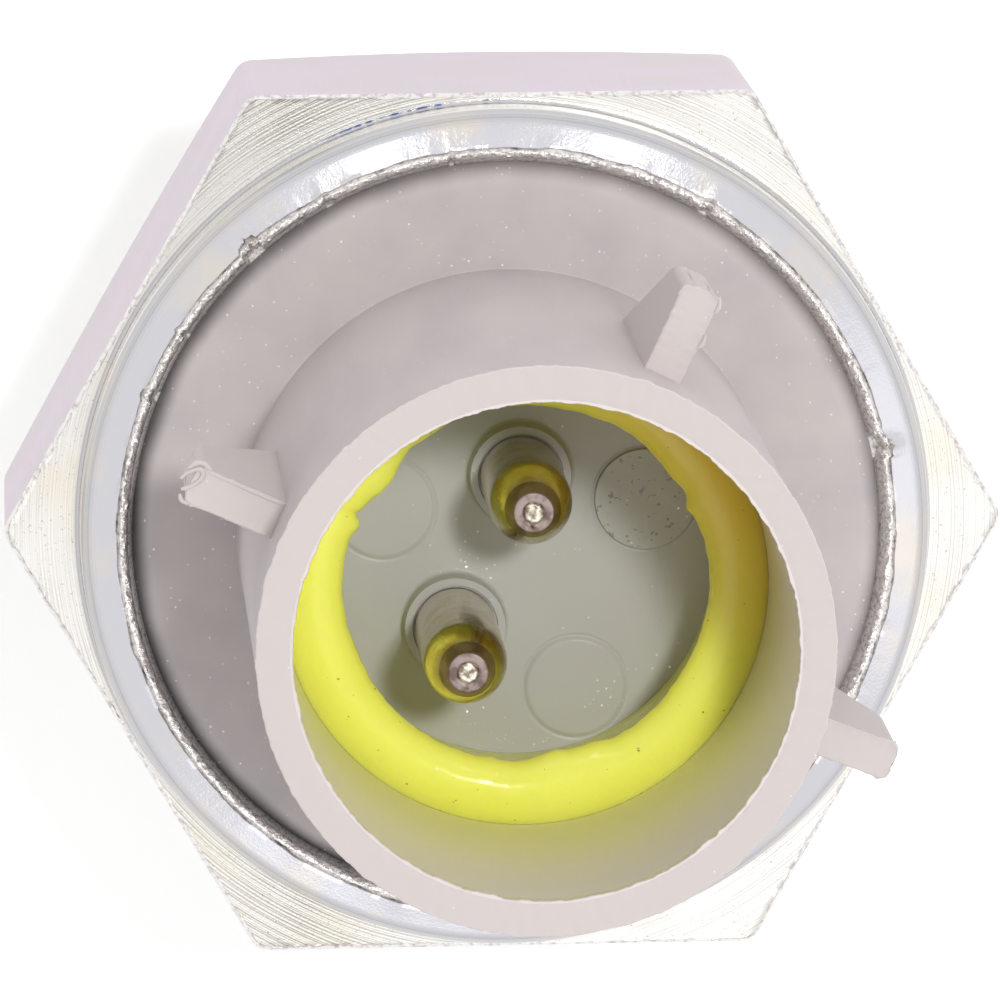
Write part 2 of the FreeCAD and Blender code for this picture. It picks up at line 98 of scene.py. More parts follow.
# Each nick of the lip has an angle, a half width in degrees, a depth and an outward tear
nicks = (
    (131, 1.7, 0.22, 0.34), (157.7, 1.0, 0.16, 0.1), (117.7, 0.9, 0.14, 0.06),
    (58.5, 0.9, 0.16, 0.1), (12.5, 2.0, 0.2, 0.2), (147, 0.6, 0.1, 0.08), (98, 0.5, 0.1, 0.04),
)
nick_grain = 0.12
fold_wander = 0.1
fold_grain = 1.1
fold_depth_grain = 0.6

FACED, DRAWN, ROLLED, BEAD, THREADED, SMEARED, FOLD, BURR = range(8)

# Lines round the sheared lip: radius, height over the hexagon, grain and size of the roughness
lip_lines = (
    (11.6, 1.5, 0.5, 0.008, SMEARED), (11.65, 1.63, 0.3, 0.015, SMEARED),
    (11.71, 1.73, 0.25, 0.02, SMEARED), (11.77, 1.81, 0.15, 0.045, BEAD),
    (11.83, 1.85, 0.12, 0.06, BEAD), (11.89, 1.87, 0.12, 0.06, BEAD),
    (11.95, 1.86, 0.12, 0.05, BEAD),
)
# Lines of the torn fold outside the lip: radius, height over the hexagon and depth
fold_lines = ((12.0, 1.855, 0.04), (12.02, 1.855, 0.1), (12.04, 1.865, 0.04))
# The small fillet at the skirt's foot: distance out from the skirt and height
foot_fillet = ((0.02, 0.12), (0.05, 0.05), (0.09, 0.015), (0.16, 0))
# The thread's profile: place along the pitch and share of the depth that is cut away
thread_shape = ((-1 / 16, 0), (1 / 16, 0), (3 / 8, 1), (5 / 8, 1))

ZINC_BRIGHT = "F3F1EC"
ZINC_GREY = "ABA8A1"
ZINC_DARK = "8E8A83"
ZINC_STRAW = "F0E4D0"
ZINC_LILAC = "E0D3DF"
ZINC_MILK = "DBD2D6"
ZINC_BLUE = "DCDBE1"
PAINTED_BLUE_REFLECTION = "5F6C98"
SHEARED_BRIGHT = "FDFBF8"
SHEARED_DARK = "C9C3C0"
SMEARED_GREY = "DAD6D2"
FOLD_DARK = "A8A09F"


def linear(code):
    """Linear colour of an sRGB hex code."""
    shares = [int(code[place:place + 2], 16) / 255 for place in (0, 2, 4)]
    return [share / 12.92 if share <= 0.04045 else ((share + 0.055) / 1.055) ** 2.4
            for share in shares] + [1.0]


def new_material(name):
    """An empty node material."""
    material = bpy.data.materials.new(name)
    material.use_nodes = True
    material.node_tree.nodes.clear()
    return material


def add(owner, kind, inputs=None, output=None, **settings):
    """Add a shader node with its options; inputs give its sockets a link, a value or a hex colour.

    Returns the named output, or else the first one that the options leave in use.
    """
    node = owner.node_tree.nodes.new("ShaderNode" + kind)
    for name, value in settings.items():
        setattr(node, name, value)
    for name, value in (inputs or {}).items():
        if isinstance(value, bpy.types.NodeSocket):
            owner.node_tree.links.new(value, node.inputs[name])
        else:
            node.inputs[name].default_value = linear(value) if isinstance(value, str) else value
    if output:
        return node.outputs[output]
    return next((socket for socket in node.outputs if socket.enabled), None)


def per(size):
    """Texture scale of a pattern whose grain has this size in millimetres."""
    return 1 / (size * MM)


def distance_out(owner, place):
    """Distance of each place from the sensor's axis."""
    flat = add(owner, "VectorMath", {0: place, 1: (1, 1, 0)}, operation="MULTIPLY")
    return add(owner, "VectorMath", {0: flat}, operation="LENGTH")


def toward(owner, place, direction, reach, values):
    """A value that changes along a level direction, between two distances in millimetres."""
    side = add(owner, "VectorMath", {0: place, 1: (*direction, 0)}, operation="DOT_PRODUCT")
    return add(owner, "MapRange",
               {0: side, 1: reach[0] * MM, 2: reach[1] * MM, 3: values[0], 4: values[1]})


def stain_or_painted_light(owner, tone, stain_or_light_tone, pattern, between, shares, **settings):
    """Lay a stain, painted shade or painted light over a tone; its share goes from one to another
    between two pattern values.
    """
    share = add(owner, "MapRange",
                {0: pattern, 1: between[0], 2: between[1], 3: shares[0], 4: shares[1]}, **settings)
    return add(owner, "Mix", {0: share, 6: tone, 7: stain_or_light_tone}, data_type="RGBA")


def surfaced(owner, inputs, relief=None, strength=0.0, depth=0.0):
    """Give a material its surface, with a relief of this strength and depth in millimetres."""
    if relief:
        inputs["Normal"] = add(owner, "Bump",
                               {"Height": relief, "Strength": strength, "Distance": depth * MM})
    add(owner, "OutputMaterial", {0: add(owner, "BsdfPrincipled", inputs)})


def mottled(name, tone, other_tone, grain, roughness, inputs, strength=0.0, depth=0.0, detail=3.0):
    """A material whose tone, roughness and relief all follow one soft pattern of this grain."""
    material = new_material(name)
    place = add(material, "TexCoord", output="Object")
    pattern = add(material, "TexNoise", {"Vector": place, "Scale": per(grain), "Detail": detail})
    if other_tone:
        tone = add(material, "Mix", {0: pattern, 6: tone, 7: other_tone}, data_type="RGBA")
    dull = add(material, "MapRange",
               {0: pattern, 1: 0.3, 2: 0.7, 3: roughness[0], 4: roughness[1]})
    surfaced(material, {"Base Color": tone, "Roughness": dull, **inputs},
             pattern if depth else None, strength, depth)
    return material


def ring(shell, count, radius, level):
    """Points round the axis; the radius and level are numbers or functions of the angle."""
    points = []
    for step in range(count):
        turn = FULL_TURN * step / count
        reach = radius(turn) if callable(radius) else radius
        height = level(turn) if callable(level) else level
        points.append(shell.verts.new(
            (reach * math.cos(turn) * MM, reach * math.sin(turn) * MM, height * MM)))
    return points


def span(shell, first, second, finish):
    """Faces between two rings; the first may have a whole number of times as many points."""
    share = len(first) // len(second)
    for step in range(len(second)):
        far = [first[(share * (step + 1) - back) % len(first)] for back in range(share + 1)]
        face = shell.faces.new([second[step], second[(step + 1) % len(second)], *far])
        face.material_index = finish


def turned(shell, profile):
    """Join rings, given as radius, level and finish under their count of points.

    A ring's finish is that of the faces between it and the ring before. Returns both end rings.
    """
    rings = [(ring(shell, count, radius, level), finish)
             for count, group in profile.items() for radius, level, finish in group]
    for (before, _), (after, finish) in zip(rings, rings[1:]):
        longer, shorter = sorted((before, after), key=len, reverse=True)
        span(shell, longer, shorter, finish)
    return rings[0][0], rings[-1][0]


def placed(name, shell, materials):
    """Put a shell into the scene as an object with these materials."""
    mesh = bpy.data.meshes.new(name)
    shell.to_mesh(mesh)
    shell.free()
    for material in materials:
        mesh.materials.append(material)
    piece = bpy.data.objects.new(name, mesh)
    bpy.context.scene.collection.objects.link(piece)
    return piece


def smoothed(mesh):
    """Shade a mesh smooth, with sharp edges where it turns by more than the sharp angle."""
    mesh.shade_smooth()
    mesh.set_sharp_from_angle(angle=sharp_angle)


def finished(name, shell, materials):
    """Put a shell into the scene as a smooth object with its faces outward."""
    bmesh.ops.recalc_face_normals(shell, faces=shell.faces)
    piece = placed(name, shell, materials)
    smoothed(piece.data)
    return piece


def uneven(turn, radius, level, grain, amount):
    """Uneven amount at this angle of a rough edge, from noise with this grain in millimetres."""
    spot = Vector((math.cos(turn) * radius, math.sin(turn) * radius, level))
    return noise.noise(spot / grain) * amount


def hex_radius(turn):
    """Distance from the axis to the hexagon's side at this angle, with its rounded corners."""
    twelfth = FULL_TURN / 12
    off_corner = (turn + twelfth) % (2 * twelfth) - twelfth
    centre = (hex_apothem - hex_corner_round) / math.cos(twelfth)
    ahead = centre + hex_corner_round * math.cos(twelfth)
    tangent = math.atan2(hex_corner_round * math.sin(twelfth), ahead)
    if abs(off_corner) < tangent:
        across = centre * math.sin(off_corner)
        return centre * math.cos(off_corner) + math.sqrt(hex_corner_round ** 2 - across ** 2)
    return hex_apothem / math.cos(twelfth - abs(off_corner))


def burred_edge(turn):
    """Radius of the hexagon's top edge, which the facing cut left with a small uneven burr."""
    return hex_radius(turn) - edge_break + uneven(turn, skirt_radius, 0, burr_grain, burr_height)


def burr_foot(turn):
    """Radius at which the burr begins on the hexagon's top."""
    return burred_edge(turn) - burr_width


def burr_level(turn):
    """Height of the burr along the edge of the hexagon's top."""
    return hex_top + burr_lift + max(uneven(turn, skirt_radius, 9, burr_grain, burr_height), 0)


def bevel_level(turn):
    """Height at which the turned bevel under the hexagon meets its side."""
    return seat_step + (hex_radius(turn) - bevel_radius) * bevel_slope


def nicked(turn):
    """How far the lip is torn down and outward at this angle."""
    down, outward = 0.0, 0.0
    for angle, half_width, depth, tear in nicks:
        off = ((math.degrees(turn) - angle + 180) % 360 - 180) / half_width
        share = max(1 - off ** 2, 0.0) ** 0.5
        ragged = 0.7 + uneven(turn, skirt_radius, 11, nick_grain, 0.8)
        down += depth * share * ragged
        outward += tear * share * ragged
    return down, outward


def lip_line(radius, level, grain, amount, finish):
    """A ragged ring round the sheared lip."""
    return (
        lambda turn: radius + uneven(turn, radius, level, grain, amount) + nicked(turn)[1],
        lambda turn: (hex_top + level + uneven(turn, radius, level + 5, grain, amount)
                      - nicked(turn)[0]),
        finish,
    )


def fold_radius(turn, radius):
    """Radius of the torn fold outside the lip, which wanders in and out."""
    wander = max(uneven(turn, skirt_radius, 1, fold_grain, fold_wander), -0.01)
    return radius + wander + uneven(turn, skirt_radius, 3, 0.2, 0.015) + nicked(turn)[1]


def fold_line(radius, level, depth):
    """A ring of the fold, which is deeper in places."""
    return (
        lambda turn: fold_radius(turn, radius),
        lambda turn: hex_top + level - depth * max(
            0.3 + uneven(turn, skirt_radius, 7, fold_depth_grain, 1.5), 0),
        FOLD,
    )


def thread_level(turn, start):
    """Height of a line of the thread, which climbs with the turn between the tip and the relief."""
    return min(max(start + thread_pitch * turn / FULL_TURN, stud_tip), -relief_length)


def thread_reach(level, share):
    """Radius of the thread at this height, where the share of its depth is cut away."""
    lead = thread_radius - stud_chamfer + level - stud_tip
    runout = relief_radius - relief_length - level
    return min(thread_radius - thread_depth * share, lead, runout)


steel = bmesh.new()
lip_foot = (lip_inner, hex_top + lip_contact)
housing_rings = [(*lip_foot, SMEARED)]
housing_rings += [lip_line(*line) for line in lip_lines]
housing_rings += [fold_line(*line) for line in fold_lines]

# The skirt slopes down from the fold and bends into its upright wall
skirt_drop = (skirt_shoulder - skirt_top_radius) * math.tan(skirt_slope)
for share in (0, 0.25, 0.5, 0.75):
    radius = skirt_top_radius + (skirt_shoulder - skirt_top_radius) * share
    housing_rings.append((
        lambda turn, share=share, radius=radius: radius + fold_radius(turn, 0) * (1 - share),
        hex_top + skirt_rise - skirt_drop * share,
        ROLLED,
    ))
skirt_bend = (skirt_radius - skirt_shoulder) / (1 - math.sin(skirt_slope))
for step in range(skirt_steps + 1):
    lean = skirt_slope + (math.pi / 2 - skirt_slope) * step / skirt_steps
    radius = skirt_shoulder + skirt_bend * (math.sin(lean) - math.sin(skirt_slope))
    level = skirt_rise - skirt_drop - skirt_bend * (math.cos(skirt_slope) - math.cos(lean))
    housing_rings.append((radius, hex_top + level, ROLLED))
for out, level in foot_fillet:
    housing_rings.append((skirt_radius + out, hex_top + level, ROLLED))
foot_radius = skirt_radius + foot_fillet[-1][0]
for share in (0.1, 0.5, 0.9):
    housing_rings.append((
        lambda turn, share=share: foot_radius + (burr_foot(turn) - foot_radius) * share,
        hex_top,
        FACED,
    ))
housing_rings += [
    (burr_foot, hex_top, FACED),
    (lambda turn: burred_edge(turn) - burr_width / 3, burr_level, BURR),
    (burred_edge, lambda turn: burr_level(turn) - burr_lift, BURR),
    (hex_radius, hex_top - edge_break, BURR),
    (hex_radius, lambda turn: (hex_top + bevel_level(turn)) / 2, DRAWN),
    (hex_radius, bevel_level, DRAWN),
    (bevel_radius, seat_step, FACED),
    (seat_radius, seat_step, FACED),
    (seat_radius, 0, FACED),
]
stud_root_rings = [
    (seat_recess, 0, FACED),
    (seat_recess, seat_recess_depth, FACED),
    (relief_radius, seat_recess_depth, FACED),
    (relief_radius, -relief_length, THREADED),
]
turned(steel, {round_count: housing_rings, stud_count: stud_root_rings})

# The thread is a grid that climbs with the helix: a row ends where its next turn begins
thread_turns = math.ceil((-relief_length - stud_tip) / thread_pitch) + 3
rows_per_turn = len(thread_shape)
thread_rows = []
for row in range(thread_turns * rows_per_turn):
    place, share = thread_shape[row % rows_per_turn]
    start = stud_tip + (row // rows_per_turn - 1 + place) * thread_pitch
    thread_rows.append(ring(
        steel, stud_count,
        lambda turn: thread_reach(thread_level(turn, start), share),
        lambda turn: thread_level(turn, start),
    ))
for row in range(len(thread_rows) - 1 - rows_per_turn):
    for step in range(stud_count):
        turn_ends = step == stud_count - 1
        ahead, ahead_step = (row + rows_per_turn, 0) if turn_ends else (row, step + 1)
        steel.faces.new([
            thread_rows[row][step],
            thread_rows[ahead][ahead_step],
            thread_rows[ahead + 1][ahead_step],
            thread_rows[row + 1][step],
        ]).material_index = THREADED

tip_end = turned(steel, {
    stud_count: [(thread_radius - stud_chamfer, stud_tip, THREADED), (tip_ring, stud_tip, FACED)],
    centre_count: [(centre_mark, stud_tip, FACED)],
})[1]
steel.faces.new(tip_end)
post_end = turned(steel, {
    round_count: [
        (*lip_foot, ROLLED),
        (bore_radius, hex_top + bore_top, ROLLED),
        (bore_radius, ledge_level, ROLLED),
        (cavity_radius, ledge_level, ROLLED),
        (cavity_radius, cavity_floor, ROLLED),
    ],
    post_count: [
        (post_radius, cavity_floor, ROLLED),
        (post_radius, post_top - post_chamfer, THREADED),
        (post_radius - post_chamfer, post_top, THREADED),
    ],
})[1]
steel.faces.new(post_end)
bmesh.ops.remove_doubles(steel, verts=steel.verts, dist=weld_distance)
bmesh.ops.dissolve_degenerate(steel, dist=sliver_length, edges=steel.edges)

# Faced zinc plate: fine rings left by the lathe, dull in their bottoms and bright on their crests,
# with straw stains and specks. The rings are darker and deeper in random patches and toward two
# sides; toward those sides the darker tone is painted shade. They are drawn a little coarser than
# the real feed marks, so that they show.
feed_mark = 0.055
# Sides toward which shade is painted into the rings
shaded_side_behind = (-0.2, 0.98)
shaded_side_in_front = (-0.5, -0.87)

face_zinc = new_material("zinc_plate_on_faced_steel")
place = add(face_zinc, "TexCoord", output="Object")
out = distance_out(face_zinc, place)
sway = add(face_zinc, "TexNoise", {"Vector": place, "Scale": per(2.5), "Detail": 1.0})
swayed_out = add(face_zinc, "Math", {0: sway, 1: 0.05 * MM, 2: out}, operation="MULTIPLY_ADD")
grooves = add(face_zinc, "TexNoise", {"W": swayed_out, "Scale": per(feed_mark), "Detail": 0.0},
              noise_dimensions="1D")
grain = add(face_zinc, "TexNoise", {"Vector": place, "Scale": per(0.07), "Detail": 2.0})
patch = add(face_zinc, "TexNoise", {"Vector": place, "Scale": per(2.5), "Detail": 2.0})
straw = add(face_zinc, "TexNoise", {"Vector": place, "Scale": per(3.5), "Detail": 3.0})
coat = stain_or_painted_light(face_zinc, ZINC_BRIGHT, ZINC_STRAW, straw, (0.5, 0.68), (0.0, 0.5))
# Painted shade: the rings are drawn darker toward the far side and toward the front left
shade_behind = toward(face_zinc, place, shaded_side_behind, (11.5, 13.6), (-0.3, 0.25))
shade_in_front = toward(face_zinc, place, shaded_side_in_front, (10.5, 13), (0.0, 0.5))
side_shade = add(face_zinc, "Math", {0: shade_behind, 1: shade_in_front}, operation="ADD")
depth = add(face_zinc, "Math", {0: patch, 1: side_shade}, operation="ADD", use_clamp=True)
bottoms = add(face_zinc, "MapRange", {0: grooves, 1: 0.42, 2: 0.54, 3: 1.0, 4: 0.0})
dulled = add(face_zinc, "Math", {0: bottoms, 1: depth}, operation="MULTIPLY")
ringed = add(face_zinc, "Mix", {0: dulled, 6: coat, 7: ZINC_GREY}, data_type="RGBA")
worn = stain_or_painted_light(face_zinc, ringed, ZINC_DARK, grain, (0.27, 0.34), (0.7, 0.0))
rough_grain = add(face_zinc, "Math", {0: grain, 1: depth}, operation="MULTIPLY")
relief = add(face_zinc, "Math", {0: rough_grain, 1: 3.0, 2: grooves}, operation="MULTIPLY_ADD")
surfaced(face_zinc, {"Base Color": worn, "Metallic": 1.0, "Roughness": 0.34}, relief, 0.5, 0.01)

# Drawn flats of the bar: smooth, with a milky lilac coat and faint marks along the bar
side_zinc = new_material("zinc_plate_on_drawn_flats")
place = add(side_zinc, "TexCoord", output="Object")
along = add(side_zinc, "VectorMath", {0: place, 1: (per(0.4), per(0.4), per(5))},
            operation="MULTIPLY")
draw_marks = add(side_zinc, "TexNoise", {"Vector": along, "Scale": 1.0, "Detail": 3.0})
cloud = add(side_zinc, "TexNoise", {"Vector": place, "Scale": per(3.8), "Detail": 4.0})
coat = stain_or_painted_light(side_zinc, ZINC_LILAC, ZINC_MILK, cloud, (0.35, 0.7), (0.0, 1.0))
surfaced(side_zinc, {"Base Color": coat, "Metallic": 0.85, "Roughness": 0.45},
         draw_marks, 0.4, 0.02)

# Rolled skirt: the forming roller left it satin, with fine lines round it that crowd near its foot.
# A highlight is painted round the wall over the foot, and a broken dark-blue reflection is painted
# along the foot on the far side.
bright_wall = skirt_radius + 0.01
reflection_line = skirt_radius + 0.12
line_half_width = 0.035
reflection_side = (-0.21, 0.98)

skirt_zinc = new_material("zinc_plate_on_rolled_skirt")
place = add(skirt_zinc, "TexCoord", output="Object")
out = distance_out(skirt_zinc, place)
lines = add(skirt_zinc, "TexNoise", {"W": out, "Scale": per(0.06), "Detail": 3.0},
            noise_dimensions="1D")
crowding = add(skirt_zinc, "MapRange", {0: out, 1: 12.5 * MM, 2: 13.05 * MM, 3: 0.25, 4: 2.2})
deep_lines = add(skirt_zinc, "Math", {0: lines, 1: crowding}, operation="MULTIPLY")
cloud = add(skirt_zinc, "TexNoise", {"Vector": place, "Scale": per(2.2), "Detail": 4.0})
coat = stain_or_painted_light(skirt_zinc, ZINC_BLUE, ZINC_STRAW, cloud, (0.52, 0.7), (0.0, 0.5))
lined = stain_or_painted_light(skirt_zinc, coat, ZINC_GREY, deep_lines, (0.55, 1.1), (0.0, 0.45))
# Painted highlight: a bright line round the wall over the foot
on_wall = add(skirt_zinc, "Math", {0: out, 1: bright_wall * MM, 2: line_half_width * MM},
              operation="COMPARE")
painted_shine = add(skirt_zinc, "Math", {0: on_wall, 1: 0.7}, operation="MULTIPLY")
walled = add(skirt_zinc, "Mix", {0: painted_shine, 6: lined, 7: SHEARED_BRIGHT}, data_type="RGBA")
# Painted reflection: a broken dark-blue line along the foot on the far side
at_foot = add(skirt_zinc, "Math", {0: out, 1: reflection_line * MM, 2: line_half_width * MM},
              operation="COMPARE")
on_far_side = toward(skirt_zinc, place, reflection_side, (12.95, 13.2), (0.0, 1.0))
blue_breaks = add(skirt_zinc, "TexNoise", {"Vector": place, "Scale": per(0.35), "Detail": 2.0})
broken = add(skirt_zinc, "MapRange", {0: blue_breaks, 1: 0.42, 2: 0.56, 3: 0.0, 4: 1.0})
broken_reflection = add(skirt_zinc, "Math", {0: on_far_side, 1: broken}, operation="MULTIPLY")
reflection_share = add(skirt_zinc, "Math", {0: at_foot, 1: broken_reflection}, operation="MULTIPLY")
blue_reflected = add(skirt_zinc, "Mix", {0: reflection_share, 6: walled, 7: PAINTED_BLUE_REFLECTION}, data_type="RGBA")
grain = add(skirt_zinc, "TexNoise", {"Vector": place, "Scale": per(0.09), "Detail": 3.0})
relief = add(skirt_zinc, "Math", {0: grain, 1: 1.6, 2: deep_lines}, operation="MULTIPLY_ADD")
surfaced(skirt_zinc, {"Base Color": blue_reflected, "Metallic": 1.0, "Roughness": 0.2}, relief, 0.5, 0.009)


def torn_steel(name, dark, bright, grain_size, roughness, bare=1.0):
    """Torn or smeared steel: bright on its high spots, darker in its pits, and bare or dusty."""
    material = new_material(name)
    place = add(material, "TexCoord", output="Object")
    tears = add(material, "TexNoise",
                {"Vector": place, "Scale": per(grain_size), "Detail": 3.0, "Roughness": 0.6})
    tone = stain_or_painted_light(material, dark, bright, tears, (0.36, 0.52), (0.0, 1.0))
    surfaced(material, {"Base Color": tone, "Metallic": bare, "Roughness": roughness},
             tears, 0.8, 0.04)
    return material


# Sheared edge: a sparkling torn bead, a smoother grey wall below it, and a dark fold outside it
sheared_steel = torn_steel("sheared_steel_bead", SHEARED_DARK, SHEARED_BRIGHT, 0.09, 0.25)
smeared_steel = torn_steel("smeared_steel_wall", FOLD_DARK, SMEARED_GREY, 0.12, 0.4, 0.4)
fold_steel = torn_steel("torn_steel_fold", FOLD_DARK, SMEARED_GREY, 0.15, 0.4, 0.5)
burr_steel = torn_steel("burr_of_faced_edge", ZINC_MILK, SHEARED_BRIGHT, 0.2, 0.3)

# Rolled thread and turned post: plain bright plate
thread_zinc = mottled("zinc_plate_on_rolled_thread", ZINC_BRIGHT, None, 0.11, (0.22, 0.42),
                      {"Metallic": 1.0}, 0.3, 0.02)

steel_housing = finished("steel_housing", steel, [
    face_zinc, side_zinc, skirt_zinc, sheared_steel,
    thread_zinc, smeared_steel, fold_steel, burr_steel,
])
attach(steel_housing, "root")
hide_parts("housing")

# Sensing stack
# Rings clamped on the housing's post by a thin nut: a brass plate on each side of the piezo ring,
# film to insulate them, a steel mass and a coned spring. The frame's solids are used as they are.
BRASS = "C9A25A"
BRASS_TARNISH = "A97F3C"
FILM_AMBER = "B06A1E"
FILM_EDGE = "8A4C12"
CERAMIC_BUFF = "B9AF96"
SILVER_PASTE = "D9D8D2"
TURNED_GREY = "A3A5A6"
BLUED_DARK = "3E4550"
BLUED_STRAW = "6E5E48"


def dress(material, *nodes):
    """Give solids of the frame this material."""
    for node in nodes:
        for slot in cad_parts[node].material_slots:
            slot.material = material


# Punched brass: yellow, with a faint rolling grain and a brown tarnish in patches
brass = new_material("punched_brass_sheet")
place = add(brass, "TexCoord", output="Object")
along = add(brass, "VectorMath", {0: place, 1: (per(0.08), per(2), per(2))}, operation="MULTIPLY")
rolling = add(brass, "TexNoise", {"Vector": along, "Scale": 1.0, "Detail": 2.0})
patch = add(brass, "TexNoise", {"Vector": place, "Scale": per(3), "Detail": 4.0})
tone = stain_or_painted_light(brass, BRASS, BRASS_TARNISH, patch, (0.45, 0.7), (0.0, 0.7))
dull = add(brass, "MapRange", {0: rolling, 1: 0.2, 2: 0.8, 3: 0.25, 4: 0.45})
surfaced(brass, {"Base Color": tone, "Metallic": 1.0, "Roughness": dull}, rolling, 0.4, 0.005)
dress(brass, "lower_contact_plate", "upper_contact_plate", "lead_strap_a", "lead_strap_b")

# Polyimide film: smooth clear amber that is deeper in places
film = mottled("amber_polyimide_film", FILM_AMBER, FILM_EDGE, 1.2, (0.12, 0.3),
               {"IOR": 1.7}, 0.3, 0.02)
dress(film, "insulating_sleeve", "lower_insulator", "upper_insulator")

# Fired piezo ceramic: buff and matt round its edge, with baked silver paste on its flat faces
ceramic = new_material("fired_piezo_ceramic")
place = add(ceramic, "TexCoord", output="Object")
facing = add(ceramic, "NewGeometry", output="Normal")
upward = add(ceramic, "SeparateXYZ", {0: facing}, output="Z")
flatness = add(ceramic, "Math", {0: upward}, operation="ABSOLUTE")
silvered = add(ceramic, "MapRange", {0: flatness, 1: 0.8, 2: 0.9, 3: 0.0, 4: 1.0})
grit = add(ceramic, "TexNoise", {"Vector": place, "Scale": per(0.05), "Detail": 3.0})
tone = add(ceramic, "Mix", {0: silvered, 6: CERAMIC_BUFF, 7: SILVER_PASTE}, data_type="RGBA")
surfaced(ceramic, {"Base Color": tone, "Metallic": silvered, "Roughness": 0.5}, grit, 0.4, 0.01)
dress(ceramic, "piezo_ring")

# Turned steel of the mass and the nut: grey, with the fine rings that the lathe left
lathe_steel = new_material("turned_free_cutting_steel")
place = add(lathe_steel, "TexCoord", output="Object")
out = distance_out(lathe_steel, place)
feed = add(lathe_steel, "TexNoise", {"W": out, "Scale": per(0.1), "Detail": 1.0},
           noise_dimensions="1D")
dull = add(lathe_steel, "MapRange", {0: feed, 1: 0.2, 2: 0.8, 3: 0.28, 4: 0.42})
surfaced(lathe_steel, {"Base Color": TURNED_GREY, "Metallic": 1.0, "Roughness": dull},
         feed, 0.5, 0.02)
dress(lathe_steel, "seismic_mass", "clamp_nut")

# Blued spring steel: dark, with straw where the heat was less
blued_steel = new_material("blued_spring_steel")
place = add(blued_steel, "TexCoord", output="Object")
heat = add(blued_steel, "TexNoise", {"Vector": place, "Scale": per(2.5), "Detail": 3.0})
tone = stain_or_painted_light(blued_steel, BLUED_DARK, BLUED_STRAW, heat, (0.5, 0.75), (0.0, 1.0))
dull = add(blued_steel, "MapRange", {0: heat, 1: 0.3, 2: 0.7, 3: 0.25, 4: 0.4})
surfaced(blued_steel, {"Base Color": tone, "Metallic": 1.0, "Roughness": dull})
dress(blued_steel, "disc_spring")

# Shunt resistor
# A small resistor across the two pins: a lacquered ceramic rod between end caps, on tinned copper
# wires that are welded to the feet of the pins.
LACQUER_BLUE = "7FA3BF"
LACQUER_DUST = "9DB6C6"
TINNED_WIRE = "C9C9C6"

# Lacquer: glossy and slightly uneven, with a dusty tone where it ran thin
lacquer = mottled("resistor_lacquer", LACQUER_BLUE, LACQUER_DUST, 0.6, (0.2, 0.35),
                  {"IOR": 1.5}, 0.4, 0.03)
dress(lacquer, "shunt_resistor")

# Hot-dipped tin: bright, with soft ripples where it flowed
tinned_wire = mottled("tinned_copper_wire", TINNED_WIRE, None, 0.2, (0.2, 0.4),
                      {"Metallic": 1.0}, 0.4, 0.01)
dress(tinned_wire, "resistor_wire_a", "resistor_wire_b")

# O-ring of the flange
# A moulded nitrile ring in the flange's groove keeps oil and water out of the housing. It is satin
# black, with a faint grey bloom.
RUBBER_BLACK = "1B1B1C"
RUBBER_BLOOM = "343436"

nitrile = mottled("black_nitrile_rubber", RUBBER_BLACK, RUBBER_BLOOM, 0.8, (0.4, 0.6),
                  {"IOR": 1.52}, detail=4.0)
dress(nitrile, "flange_o_ring")

# Terminal pins
# Two turned brass pins, tin plated, moulded into the floor of the cup by a neck and a collar. Each
# has a rounded shoulder, a cone, and a flat end with the small pip that the parting tool left.
floor_level = hex_top + 6.0
floor_under = floor_level - 1.6
boss_rise = 0.7
pin_circle = 2.7
pin_angles = {"a": 87.4, "b": 225.7}
pin_radius = 1.25
pin_neck = 0.95
pin_nose = 1.7
pin_tip = 0.59
pin_cone = 0.84
pin_shoulder_leans = (80, 73, 70, 69, 68, 67, 66, 65, 64, 63, 62, 61)
pin_collar = 1.75
pin_collar_low = floor_level - 1.0
pin_collar_high = floor_level - 0.5
pin_foot = 0.8
pin_foot_end = floor_under - 1.9
pip_radius = 0.3
pip_height = 0.07
dot_angle = 265
dot_half_width = 11
dot_height = 0.05
pin_count = 96

TIN_GREY = "C9C3B2"
TIN_WORN = "BCA981"
CONE_REFLECTED_BROWN = "84735F"
CONE_REFLECTED_GREY = "A0917F"
TIN_DULL = "7D6C66"
TIN_PALE = "AC9C98"
PIP_BRIGHT = "F6F0E0"
PIP_GREY = "8F8272"


def at_angle(radius, degrees):
    """Point at this radius and angle."""
    turn = math.radians(degrees)
    return Vector((radius * math.cos(turn), radius * math.sin(turn)))


def tin_plate(name, tone_low, tone_high, roughness, wear_size=0.7):
    """Thin tin on turned brass: soft grey metal with fine rings, browner in worn spots."""
    material = new_material(name)
    place = add(material, "TexCoord", output="Object")
    upright = add(material, "SeparateXYZ", {0: place}, output="Z")
    feed = add(material, "TexNoise", {"W": upright, "Scale": per(0.05), "Detail": 2.0},
               noise_dimensions="1D")
    specks = add(material, "TexNoise", {"Vector": place, "Scale": per(0.09), "Detail": 3.0})
    wear = add(material, "TexNoise", {"Vector": place, "Scale": per(wear_size), "Detail": 3.0})
    tone = stain_or_painted_light(material, tone_high, tone_low, wear, (0.42, 0.62), (0.0, 1.0))
    dull = add(material, "MapRange", {0: specks, 1: 0.3, 2: 0.7, 3: roughness, 4: roughness + 0.14})
    relief = add(material, "Math", {0: specks, 1: 1.2, 2: feed}, operation="MULTIPLY_ADD")
    surfaced(material, {"Base Color": tone, "Metallic": 1.0, "Roughness": dull}, relief, 0.2, 0.006)
    return material


